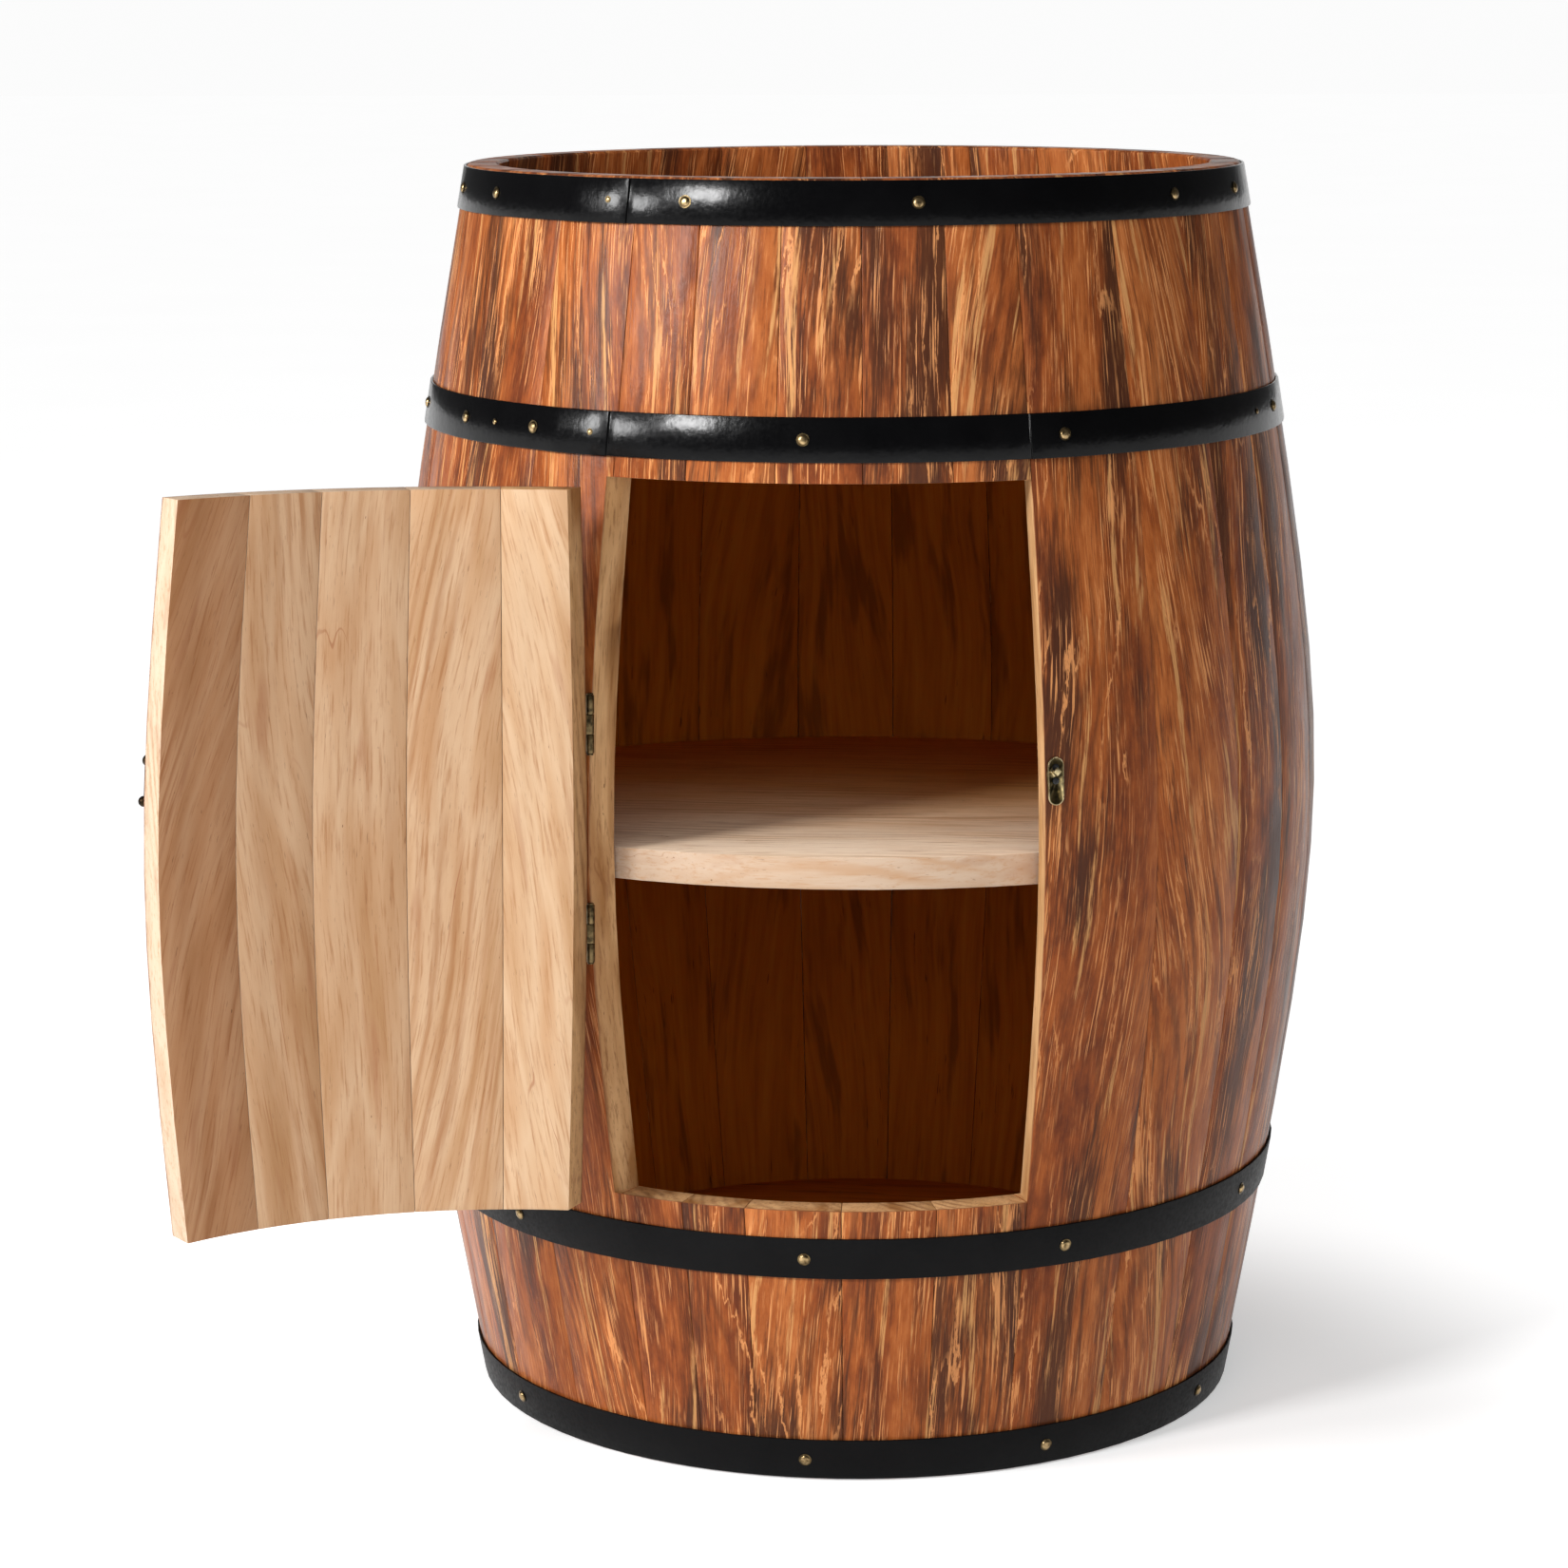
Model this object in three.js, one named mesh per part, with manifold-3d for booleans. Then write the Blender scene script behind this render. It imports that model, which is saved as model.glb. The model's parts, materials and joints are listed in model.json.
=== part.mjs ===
// Barrel bar cabinet. A bulged barrel is coopered from full-height staves, held by four
// lapped steel hoops and closed by two bevelled heads that sit in a croze. Short staves
// close the wall above and below a doorway. The door is a leaf of arched boards on two butt
// hinges, with a swing arm that drops behind a hooked keeper. It is modelled standing open.
// Millimetres and degrees, +Z up, floor at z = 0. Angles round the barrel start at the middle
// of the doorway, which faces -Y, and grow towards +X.
import * as THREE from 'three';
import Module from 'manifold-3d';
import { mergeVertices } from 'three/addons/utils/BufferGeometryUtils.js';

const wasm = await Module();
wasm.setup();
const rad = THREE.MathUtils.degToRad;
const fullTurn = 360;

// Barrel
const barrelHeight = 800;
const bellyRadius = 301.6;
const endRadius = 247.7;
const bulgeSharpnessShare = 0.36;
const wallThickness = 20;
const rimChamfer = 1.5;
const seatGap = 0.3;

// Facets: rings of corners up half the wall, and strips across one stave
const ringsPerHalf = 6;
const stripsPerStave = 3;

// Staves that run the full height, from the right side of the doorway round to its left side
const staveWidthShares = [
  15.1, 14, 11, 12.5, 14.2, 13.4, 14.8, 13, 14.4, 12.6, 14.6,
  13.8, 14.9, 13.1, 14.3, 12.9, 15, 13.6, 14.1, 13.2, 14.5, 12.9,
];

// Doorway and the boards in line with it, listed from its left side to its right side
const doorwayHalfAngle = 27.1;
const doorwayBottomShare = 0.2269;
const doorwayTopShare = 0.7799;
const sawLean = 1.0;
const sawOverrun = 6;
const lintelWidthShares = [10.2, 11.6, 10.9, 11.3, 10.2];
const sillWidthShares = [8.9, 8.5, 12.5, 12.2, 12.1];
const doorWidthShares = [18.3, 22, 22, 18.9, 18.8];
const doorSideGap = 3.2;
const doorTopGap = 2.5;
const doorBottomGap = 7;
const doorOpenAngle = 154.7;

// Heads and the croze that they sit in
const headDepth = 40;
const headThickness = 18;
const tongueThickness = 6.4;
const headBevel = 14;
const crozeDepth = 5;
const headEdgeClearance = 0.8;
const headSegments = 48;

// Shelf
const shelfTopShare = 0.484;
const shelfSlopeAngle = 2.7;
const shelfThickness = 19.5;
const shelfSideClearance = 2;
const cleatAngles = [58, 135, 225, 302];
const cleatWidth = 90;
const cleatHeight = 18;
const cleatDepth = 16;

// Hoops. A lap is where one end of the band rides over the other
const hoopWidth = 26.4;
const hoopThickness = 1.5;
const endHoopInset = 1;
const bulgeHoopBottomShare = 0.7953;
const lapLength = 42;
const lapRamp = 14;
const lapEndStep = 0.3;

// Hinges
const hingeHeightShares = [0.5969, 0.437];
const hingeHeight = 35;
const leafWidth = 16;
const leafThickness = 1;
const pinRadius = 1.2;
const boreRadius = 1.5;
const knuckleRadius = 2.5;
const pinHeadRadius = 2;
const pinHeadHeight = 0.9;
const pinClearance = 0.15;
const knuckleGap = 0.4;
const knuckleSegments = 12;
const cutOverrun = 1;

// Latch: swing arm on the door, hooked keeper on the wall
const latchEdgeDistance = 4;
const latchHeightShare = 0.5838;
const armReach = 25;
const armWidth = 3;
const armThickness = 1.6;
const armLift = 1.6;
const eyeRadius = 3.4;
const knobRadius = 3.3;
const knobHeight = 6.6;
const pivotRadius = 1.3;
const pivotBore = 1.65;
const pivotHeadRadius = 2.9;
const pivotHeadHeight = 1.5;
const pivotDepth = 9;
const latchedAngle = 45;
const hookReach = 19.5;
const hookWidth = 3.6;
const hookWall = 1.2;
const hookInside = 2.7;
const hookLipCover = 2.6;
const keeperHeight = 29;
const keeperWidth = 10.4;
const keeperThickness = 1;
const keeperDrop = 20.7;
const roundSegments = 16;
const domeRows = 4;

// Looks
const stainedPine = () => woodMaterial(0x96552d, 0.42);
const palePine = () => woodMaterial(0xd8b491, 0.6);
const blackSteel = () => metalMaterial(0x1b1b1d, 0.35, 0.6);
const darkBrass = () => metalMaterial(0x5c5038, 0.4, 0.9);
const brass = () => metalMaterial(0xa5905a, 0.35, 0.9);

function woodMaterial(color, roughness) {
  return new THREE.MeshStandardMaterial({ color, roughness, metalness: 0 });
}

function metalMaterial(color, roughness, metalness) {
  return new THREE.MeshStandardMaterial({ color, roughness, metalness });
}

// Heights that follow the barrel's height
const doorwayBottom = doorwayBottomShare * barrelHeight;
const doorwayTop = doorwayTopShare * barrelHeight;
const shelfTop = shelfTopShare * barrelHeight;
const bulgeHoopBottom = bulgeHoopBottomShare * barrelHeight;
const hingeHeights = hingeHeightShares.map((share) => share * barrelHeight);
const latchHeight = latchHeightShare * barrelHeight;
const keeperCentreHeight = latchHeight - keeperDrop;

// Outer radius of the wall: a hyperbola, round at the belly and almost straight at the ends.
const halfHeight = barrelHeight / 2;
const bulgeRise = Math.hypot(1, bulgeSharpnessShare) - bulgeSharpnessShare;

function outerRadius(z) {
  const reach = Math.abs(z - halfHeight) / halfHeight;
  const drop = Math.hypot(reach, bulgeSharpnessShare) - bulgeSharpnessShare;
  return bellyRadius - (bellyRadius - endRadius) * drop / bulgeRise;
}

function outerSlope(z) {
  const reach = (z - halfHeight) / halfHeight;
  const steepness = reach / Math.hypot(reach, bulgeSharpnessShare);
  return -(bellyRadius - endRadius) / bulgeRise / halfHeight * steepness;
}

function polar(radius, angle, z) {
  return new THREE.Vector3(radius * Math.sin(rad(angle)), -radius * Math.cos(rad(angle)), z);
}

// A point of the wall at a depth below its outer face. A leaning saw cut shifts the angle
// evenly with the depth.
function wallPoint(angle, lean, radius, z) {
  const depth = outerRadius(z) - radius;
  return polar(radius, angle + lean * depth / wallThickness, z);
}

// Heights of the corner rings, closest together at the belly, where the wall curves most.
function ringHeights() {
  const reach = Math.asinh(1 / bulgeSharpnessShare);
  const heights = [];
  for (let k = -ringsPerHalf; k <= ringsPerHalf; k += 1) {
    const share = bulgeSharpnessShare * Math.sinh(reach * k / ringsPerHalf);
    heights.push(halfHeight * (1 + share));
  }
  return heights;
}

const levels = ringHeights();

// Joins sections of equally many points into one closed solid. Every section runs
// anticlockwise in the radius-height plane, and the sections follow in growing angle. With cap
// triangles the solid has two ends, and without them it is a ring.
function solidFromSections(sections, capTriangles) {
  const count = sections[0].length;
  const positions = sections.flat().flatMap((point) => point.toArray());
  const index = [];
  const steps = capTriangles ? sections.length - 1 : sections.length;
  for (let i = 0; i < steps; i += 1) {
    const here = i * count;
    const next = ((i + 1) % sections.length) * count;
    for (let j = 0; j < count; j += 1) {
      const k = (j + 1) % count;
      index.push(here + j, next + j, next + k, here + j, next + k, here + k);
    }
  }
  const last = (sections.length - 1) * count;
  for (const [a, b, c] of capTriangles ?? []) {
    index.push(a, b, c, last + a, last + c, last + b);
  }
  const geometry = new THREE.BufferGeometry();
  geometry.setAttribute('position', new THREE.Float32BufferAttribute(positions, 3));
  geometry.setIndex(index);
  return geometry;
}

// End faces. A leaning cut is a little twisted, so each outer corner of its end face is tied to
// the inner corner at the same height.
function flatCap(outline) {
  return THREE.ShapeUtils.triangulateShape(outline, []);
}

function ladderCap(outline) {
  const last = outline.length - 1;
  const triangles = [];
  for (let i = 0; i < outline.length / 2 - 1; i += 1) {
    triangles.push([i, i + 1, last - i - 1], [i, last - i - 1, last - i]);
  }
  return triangles;
}

// A piece of the wall between two angles, from its outline in the radius-height plane.
function wallSector(outline, fromAngle, toAngle, fromLean, toLean) {
  const sections = [];
  for (let i = 0; i <= stripsPerStave; i += 1) {
    const share = i / stripsPerStave;
    const angle = fromAngle + (toAngle - fromAngle) * share;
    const lean = fromLean + (toLean - fromLean) * share;
    sections.push(outline.map(({ x, y }) => wallPoint(angle, lean, x, y)));
  }
  const isPlain = outline.every((point, i) => point.y === outline.at(-1 - i).y);
  return solidFromSections(sections, isPlain ? ladderCap(outline) : flatCap(outline));
}

// The croze: a square groove round the inside, seen from the barrel's end.
const tongueMiddle = headDepth + headThickness / 2;
const crozeHalf = tongueThickness / 2 + seatGap;

function innerRadius(z) {
  return outerRadius(z) - wallThickness;
}

function crozeNotch(middle) {
  const notch = [];
  for (const [side, depth] of [[1, 0], [1, crozeDepth], [-1, crozeDepth], [-1, 0]]) {
    const z = middle + side * crozeHalf;
    notch.push(new THREE.Vector2(innerRadius(z) + depth, z));
  }
  return notch;
}

// Outline of a stave between two heights: up its outer face and down its inner face. An end
// on the barrel's rim is chamfered, and a croze is cut where it falls between the heights.
function staveOutline(bottom, top) {
  const bottomChamfer = bottom === 0 ? rimChamfer : 0;
  const topChamfer = top === barrelHeight ? rimChamfer : 0;
  const between = levels.filter((z) => z > bottom + rimChamfer && z < top - rimChamfer);
  const heights = [bottom + bottomChamfer, ...between, top - topChamfer];
  const outer = heights.map((z) => new THREE.Vector2(outerRadius(z), z));
  let inner = heights.map((z) => new THREE.Vector2(innerRadius(z), z)).reverse();
  for (const middle of [tongueMiddle, barrelHeight - tongueMiddle]) {
    if (middle > bottom && middle < top) {
      const above = inner.filter((point) => point.y > middle);
      const below = inner.filter((point) => point.y < middle);
      inner = [...above, ...crozeNotch(middle), ...below];
    }
  }
  const topEdge = [];
  if (topChamfer > 0) {
    topEdge.push(new THREE.Vector2(outerRadius(top) - topChamfer, top));
    topEdge.push(new THREE.Vector2(innerRadius(top) + topChamfer, top));
  }
  const bottomEdge = [];
  if (bottomChamfer > 0) {
    bottomEdge.push(new THREE.Vector2(innerRadius(bottom) + bottomChamfer, bottom));
    bottomEdge.push(new THREE.Vector2(outerRadius(bottom) - bottomChamfer, bottom));
  }
  return [...outer, ...topEdge, ...inner, ...bottomEdge];
}

// Splits a range of angles by a table of widths.
function splitByShares(fromAngle, toAngle, shares) {
  const total = shares.reduce((sum, share) => sum + share);
  const edges = [fromAngle];
  for (const share of shares) {
    edges.push(edges.at(-1) + (toAngle - fromAngle) * share / total);
  }
  return edges;
}

// Boards side by side over a range of angles. The two outermost edges can lean.
function boardRow(name, edges, bottom, top, material, endLean) {
  const group = new THREE.Group();
  const outline = staveOutline(bottom, top);
  const halfSeam = THREE.MathUtils.radToDeg(seatGap / innerRadius(0)) / 2;
  const count = edges.length - 1;
  for (let i = 0; i < count; i += 1) {
    const fromLean = i === 0 ? endLean : 0;
    const toLean = i === count - 1 ? endLean : 0;
    const from = edges[i] + halfSeam;
    const to = edges[i + 1] - halfSeam;
    const geometry = wallSector(outline, from, to, fromLean, toLean);
    const number = String(i + 1).padStart(2, '0');
    group.add(namedMesh(`${name}_${number}`, geometry, material()));
  }
  return group;
}

function namedMesh(name, geometry, material) {
  const mesh = new THREE.Mesh(geometry, material);
  mesh.name = name;
  return mesh;
}

// Solid joins and cuts
function toSolid(geometry) {
  const bare = geometry.clone();
  bare.deleteAttribute('normal');
  bare.deleteAttribute('uv');
  const merged = mergeVertices(bare, 1e-5);
  return new wasm.Manifold(new wasm.Mesh({
    numProp: 3,
    vertProperties: new Float32Array(merged.attributes.position.array),
    triVerts: new Uint32Array(merged.index.array),
  }));
}

function toGeometry(solid) {
  const mesh = solid.getMesh();
  const geometry = new THREE.BufferGeometry();
  geometry.setAttribute('position', new THREE.BufferAttribute(mesh.vertProperties, 3));
  geometry.setIndex(new THREE.BufferAttribute(mesh.triVerts, 1));
  return geometry;
}

function unite(...geometries) {
  return toGeometry(geometries.map(toSolid).reduce((sum, solid) => sum.add(solid)));
}

function cut(geometry, ...tools) {
  return toGeometry(tools.map(toSolid).reduce((rest, tool) => rest.subtract(tool), toSolid(geometry)));
}

// An upright cylinder between two heights
function post(radius, bottom, top, segments) {
  const geometry = new THREE.CylinderGeometry(radius, radius, top - bottom, segments);
  return geometry.rotateX(Math.PI / 2).translate(0, 0, (bottom + top) / 2);
}

// A box between two corners
function block(low, high) {
  const size = high.map((value, i) => value - low[i]);
  const middle = high.map((value, i) => (value + low[i]) / 2);
  return new THREE.BoxGeometry(...size).translate(...middle);
}

// A group on the outer face of the wall: local x runs round the barrel, y up and z outwards.
function onWall(angle, z) {
  const round = new THREE.Vector3(Math.cos(rad(angle)), Math.sin(rad(angle)), 0);
  const out = polar(1, angle, -outerSlope(z)).normalize();
  const group = new THREE.Group();
  const basis = new THREE.Matrix4().makeBasis(round, out.clone().cross(round), out);
  group.setRotationFromMatrix(basis);
  group.position.copy(polar(outerRadius(z), angle, z));
  return group;
}

// Wall. The doorway is sawn out of the finished barrel, so its leaning cuts bite into the
// staves on both sides of it.
const leftSeam = sawLean - doorwayHalfAngle;
const staveEdges = splitByShares(doorwayHalfAngle, fullTurn + leftSeam, staveWidthShares);
const lintelEdges = splitByShares(leftSeam, doorwayHalfAngle, lintelWidthShares);
const sillEdges = splitByShares(leftSeam, doorwayHalfAngle, sillWidthShares);

function doorwaySaw() {
  const between = levels.filter((z) => z > doorwayBottom && z < doorwayTop);
  const heights = [doorwayBottom, ...between, doorwayTop];
  const outer = heights.map((z) => new THREE.Vector2(outerRadius(z) + sawOverrun, z));
  const inner = heights.map((z) => new THREE.Vector2(innerRadius(z) - sawOverrun, z));
  const outline = [...outer, ...inner.reverse()];
  return wallSector(outline, -doorwayHalfAngle, doorwayHalfAngle, sawLean, sawLean);
}

function makeWall() {
  const staves = boardRow('stave', staveEdges, 0, barrelHeight, stainedPine, 0);
  const rightStave = staves.children.at(0);
  const leftStave = staves.children.at(-1);
  rightStave.geometry = cut(rightStave.geometry, doorwaySaw());
  leftStave.geometry = cut(leftStave.geometry, doorwaySaw(), ...hingeMortises(-1));
  const group = new THREE.Group();
  group.add(staves);
  group.add(boardRow('lintel', lintelEdges, doorwayTop, barrelHeight, stainedPine, 0));
  group.add(boardRow('sill', sillEdges, 0, doorwayBottom, stainedPine, 0));
  return group;
}

// Hoops. The band's corners stand on the same angles as the corners of the staves.
function bandAngles() {
  const angles = [];
  for (const edges of [staveEdges, lintelEdges]) {
    for (let i = 0; i < edges.length - 1; i += 1) {
      for (let j = 0; j < stripsPerStave; j += 1) {
        angles.push(edges[i] + (edges[i + 1] - edges[i]) * j / stripsPerStave);
      }
    }
  }
  return angles.map((angle) => (angle + fullTurn) % fullTurn);
}

// A lap starts with a square end at its angle and runs to one side, where it ramps down to
// the single band. Returns [angle, extra thickness share] pairs.
function lapStations(lap, radius) {
  const along = (length) => lap.angle + lap.side * THREE.MathUtils.radToDeg(length / radius);
  return [
    [along(-lapEndStep), 0],
    [along(0), 1],
    [along(lapLength), 1],
    [along(lapLength + lapRamp), 0],
  ].map(([angle, share]) => [(angle + fullTurn) % fullTurn, share]);
}

function extraShare(angle, laps) {
  for (const stations of laps) {
    const [start, first, last, end] = stations.map(([value]) => value);
    const turn = (value) => (value - start + fullTurn * 3 / 2) % fullTurn - fullTurn / 2;
    const side = Math.sign(turn(end));
    const here = turn(angle) * side;
    if (here > 0 && here < turn(end) * side) {
      if (here < turn(first) * side) return here / (turn(first) * side);
      if (here <= turn(last) * side) return 1;
      return (turn(end) * side - here) / ((turn(end) - turn(last)) * side);
    }
  }
  return 0;
}

function makeHoop(name, bottom, laps) {
  const top = bottom + hoopWidth;
  const lapTables = laps.map((lap) => lapStations(lap, outerRadius(bottom)));
  const angles = [...bandAngles(), ...lapTables.flat().map(([angle]) => angle)];
  angles.sort((a, b) => a - b);
  const spaced = angles.filter((angle, i) => i === 0 || angle - angles[i - 1] > 1e-3);
  const sections = spaced.map((angle) => {
    const thickness = hoopThickness * (1 + extraShare(angle, lapTables));
    const low = outerRadius(bottom) + seatGap;
    const high = outerRadius(top) + seatGap;
    return [
      polar(low, angle, bottom),
      polar(low + thickness, angle, bottom),
      polar(high + thickness, angle, top),
      polar(high, angle, top),
    ];
  });
  return namedMesh(name, solidFromSections(sections, null), blackSteel());
}

function makeHoops() {
  const topBand = barrelHeight - endHoopInset - hoopWidth;
  const lowerBulgeBand = barrelHeight - bulgeHoopBottom - hoopWidth;
  const doorwayLaps = [
    { angle: -doorwayHalfAngle, side: -1 },
    { angle: doorwayHalfAngle, side: 1 },
  ];
  const backLap = [{ angle: fullTurn / 2, side: 1 }];
  const group = new THREE.Group();
  group.add(makeHoop('hoop_top', topBand, [doorwayLaps[0]]));
  group.add(makeHoop('hoop_upper', bulgeHoopBottom, doorwayLaps));
  group.add(makeHoop('hoop_lower', lowerBulgeBand, backLap));
  group.add(makeHoop('hoop_bottom', endHoopInset, backLap));
  return group;
}

// Heads: discs whose edges are bevelled on both faces to a tongue that fits the croze.
function makeHead(name, bottom) {
  const top = bottom + headThickness;
  const middle = (bottom + top) / 2;
  const edge = innerRadius(middle) + crozeDepth - headEdgeClearance;
  const halfTongue = tongueThickness / 2;
  const face = innerRadius(middle) - headBevel;
  const outline = [
    new THREE.Vector2(0, bottom),
    new THREE.Vector2(face, bottom),
    new THREE.Vector2(edge - crozeDepth, middle - halfTongue),
    new THREE.Vector2(edge, middle - halfTongue),
    new THREE.Vector2(edge, middle + halfTongue),
    new THREE.Vector2(edge - crozeDepth, middle + halfTongue),
    new THREE.Vector2(face, top),
    new THREE.Vector2(0, top),
  ];
  const geometry = new THREE.LatheGeometry(outline, headSegments).rotateX(Math.PI / 2);
  return namedMesh(name, toGeometry(toSolid(geometry)), stainedPine());
}

// Shelf on cleats. It slopes down to the back, so that bottles don't slide out, and its edge is
// planed upright. Its height is that of its middle.
const shelfBottom = shelfTop - shelfThickness;
const shelfSlope = Math.tan(rad(shelfSlopeAngle));

function slopeDown(geometry) {
  return geometry.applyMatrix4(new THREE.Matrix4().makeShear(0, 0, 0, -shelfSlope, 0, 0));
}

function makeShelf() {
  const lowest = shelfBottom - shelfSlope * innerRadius(shelfBottom);
  const radius = innerRadius(lowest) - shelfSideClearance;
  const board = slopeDown(post(radius, shelfBottom, shelfTop, headSegments));
  return namedMesh('shelf', board, palePine());
}

// Cleats stand against the middles of the wall's facets, which lie nearer to the axis than
// the facets' corners. Each is as far out as the wall lets its lowest corner be.
function makeCleats() {
  const group = new THREE.Group();
  const top = shelfBottom - seatGap;
  const bottom = top - cleatHeight;
  const halfAngle = THREE.MathUtils.radToDeg(cleatWidth / innerRadius(bottom)) / 2;
  const widths = staveEdges.slice(1).map((edge, i) => edge - staveEdges[i]);
  const halfFacet = Math.max(...widths) / stripsPerStave / 2;
  cleatAngles.forEach((angle, i) => {
    const backwards = polar(innerRadius(bottom), angle, bottom).y + cleatWidth / 2;
    const lowest = bottom - shelfSlope * backwards;
    const back = innerRadius(lowest) * Math.cos(rad(halfFacet)) - seatGap;
    const outline = [
      new THREE.Vector2(back - cleatDepth, bottom),
      new THREE.Vector2(back, bottom),
      new THREE.Vector2(back, top),
      new THREE.Vector2(back - cleatDepth, top),
    ];
    const cleat = slopeDown(wallSector(outline, angle - halfAngle, angle + halfAngle, 0, 0));
    group.add(namedMesh(`shelf_cleat_${i + 1}`, cleat, palePine()));
  });
  return group;
}

// Door hinges, let a little into the outer faces of the wall and the door. Both pins stand on
// one line over the middle of the gap at the doorway's left side. The line leans inwards at the
// top with the wall, and is far enough out for the door's belly to swing clear of the wall's.
const gapAngle = THREE.MathUtils.radToDeg(doorSideGap / bellyRadius);
const doorHalfAngle = doorwayHalfAngle - gapAngle;
const pinAngle = -doorwayHalfAngle + gapAngle / 2;
const [upperHinge, lowerHinge] = hingeHeights;
const bellyShare = (halfHeight - lowerHinge) / (upperHinge - lowerHinge);
const straightRadius = THREE.MathUtils.lerp(
  outerRadius(lowerHinge), outerRadius(upperHinge), bellyShare);
const pinOutset = bellyRadius - straightRadius + pinClearance;
const pinPoints = hingeHeights.map((z) => polar(outerRadius(z) + pinOutset, pinAngle, z));
const pinPoint = new THREE.Vector3().addVectors(...pinPoints).divideScalar(pinPoints.length);
const pinAxis = new THREE.Vector3().subVectors(...pinPoints).normalize();

// Local frame of one side of a hinge: z along the pin, x from the pin along the leaf, which lies
// against the wall or the door, and y outwards.
function leafFrame(side, i) {
  const z = hingeHeights[i];
  const farAngle = pinAngle + side * THREE.MathUtils.radToDeg(leafWidth / outerRadius(z));
  const along = polar(outerRadius(z), farAngle, z).sub(polar(outerRadius(z), pinAngle, z));
  const pinWay = pinAxis.clone().multiplyScalar(-side);
  const outwards = pinWay.clone().cross(along).normalize();
  const basis = new THREE.Matrix4().makeBasis(outwards.clone().cross(pinWay), outwards, pinWay);
  const group = new THREE.Group();
  group.setRotationFromMatrix(basis);
  group.position.copy(pinPoints[i]);
  return group;
}

function knuckle(bottom, top) {
  const tube = post(knuckleRadius, bottom, top, knuckleSegments);
  return cut(tube, post(boreRadius, bottom - cutOverrun, top + cutOverrun, knuckleSegments));
}

// The mortises for the leaves and knuckles on one side of the gap
function hingeMortises(side) {
  const half = hingeHeight / 2 + seatGap;
  return hingeHeights.map((z, i) => {
    const frame = leafFrame(side, i);
    frame.updateMatrix();
    const low = [0, -knuckleRadius - seatGap, -half];
    const high = [leafWidth + seatGap, knuckleRadius, half];
    return block(low, high).applyMatrix4(frame.matrix);
  });
}

// A leaf is tangent to its own knuckles and keeps clear of the other leaf's.
function hingeLeaf(knuckleSpans) {
  const clear = knuckleRadius + knuckleGap;
  const face = leafThickness - knuckleRadius;
  const half = hingeHeight / 2;
  let leaf = block([clear, -knuckleRadius, -half], [leafWidth, face, half]);
  for (const [bottom, top] of knuckleSpans) {
    const neck = block([0, -knuckleRadius, bottom], [clear + cutOverrun, face, top]);
    leaf = unite(leaf, neck, knuckle(bottom, top));
  }
  return cut(leaf, post(boreRadius, -half - cutOverrun, half + cutOverrun, knuckleSegments));
}

function hingePin() {
  const half = hingeHeight / 2;
  const shank = post(pinRadius, -half - pinHeadHeight / 2, half + pinHeadHeight / 2, knuckleSegments);
  const upper = post(pinHeadRadius, half + seatGap, half + seatGap + pinHeadHeight, knuckleSegments);
  const lower = post(pinHeadRadius, -half - seatGap - pinHeadHeight, -half - seatGap, knuckleSegments);
  return unite(shank, upper, lower);
}

const hingeNames = ['hinge_upper', 'hinge_lower'];
const knuckleThird = hingeHeight / 3;

function makeFixedHingeHalves() {
  const group = new THREE.Group();
  const half = hingeHeight / 2;
  const spans = [[-half, -half + knuckleThird - knuckleGap], [half - knuckleThird + knuckleGap, half]];
  hingeNames.forEach((name, i) => {
    const frame = leafFrame(-1, i);
    frame.add(namedMesh(`${name}_wall_leaf`, hingeLeaf(spans), darkBrass()));
    frame.add(namedMesh(`${name}_pin`, hingePin(), darkBrass()));
    group.add(frame);
  });
  return group;
}

function makeDoorHingeHalves() {
  const group = new THREE.Group();
  const spans = [[-knuckleThird / 2, knuckleThird / 2]];
  hingeNames.forEach((name, i) => {
    const frame = leafFrame(1, i);
    frame.add(namedMesh(`${name}_door_leaf`, hingeLeaf(spans), darkBrass()));
    group.add(frame);
  });
  return group;
}

// Latch
const latchAngle = doorHalfAngle - THREE.MathUtils.radToDeg(latchEdgeDistance / outerRadius(latchHeight));
const armTop = armLift + armThickness;

function latchArm() {
  const shaft = block([-armWidth / 2, -armReach, armLift], [armWidth / 2, 0, armTop]);
  const eye = post(eyeRadius, seatGap, armTop, roundSegments);
  const knob = new THREE.SphereGeometry(knobRadius, roundSegments, roundSegments / 2);
  const knobScale = knobHeight / knobRadius / 2;
  knob.rotateX(Math.PI / 2).scale(1, 1, knobScale);
  knob.translate(0, -armReach, armLift + knobHeight / 2);
  const whole = unite(shaft, eye, knob);
  return cut(whole, post(pivotBore, 0, armTop + cutOverrun, roundSegments));
}

// A solid cap with a flat foot at height zero
function dome(radius, height) {
  const profile = [new THREE.Vector2(0, 0)];
  for (let i = 0; i <= domeRows; i += 1) {
    const rise = Math.PI / 2 * i / domeRows;
    profile.push(new THREE.Vector2(radius * Math.cos(rise), height * Math.sin(rise)));
  }
  return new THREE.LatheGeometry(profile, roundSegments).rotateX(Math.PI / 2);
}

function latchPivot() {
  const headBottom = armTop + seatGap;
  const shank = post(pivotRadius, -pivotDepth, headBottom + pivotHeadHeight / 2, roundSegments);
  return unite(shank, dome(pivotHeadRadius, pivotHeadHeight).translate(0, 0, headBottom));
}

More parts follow.
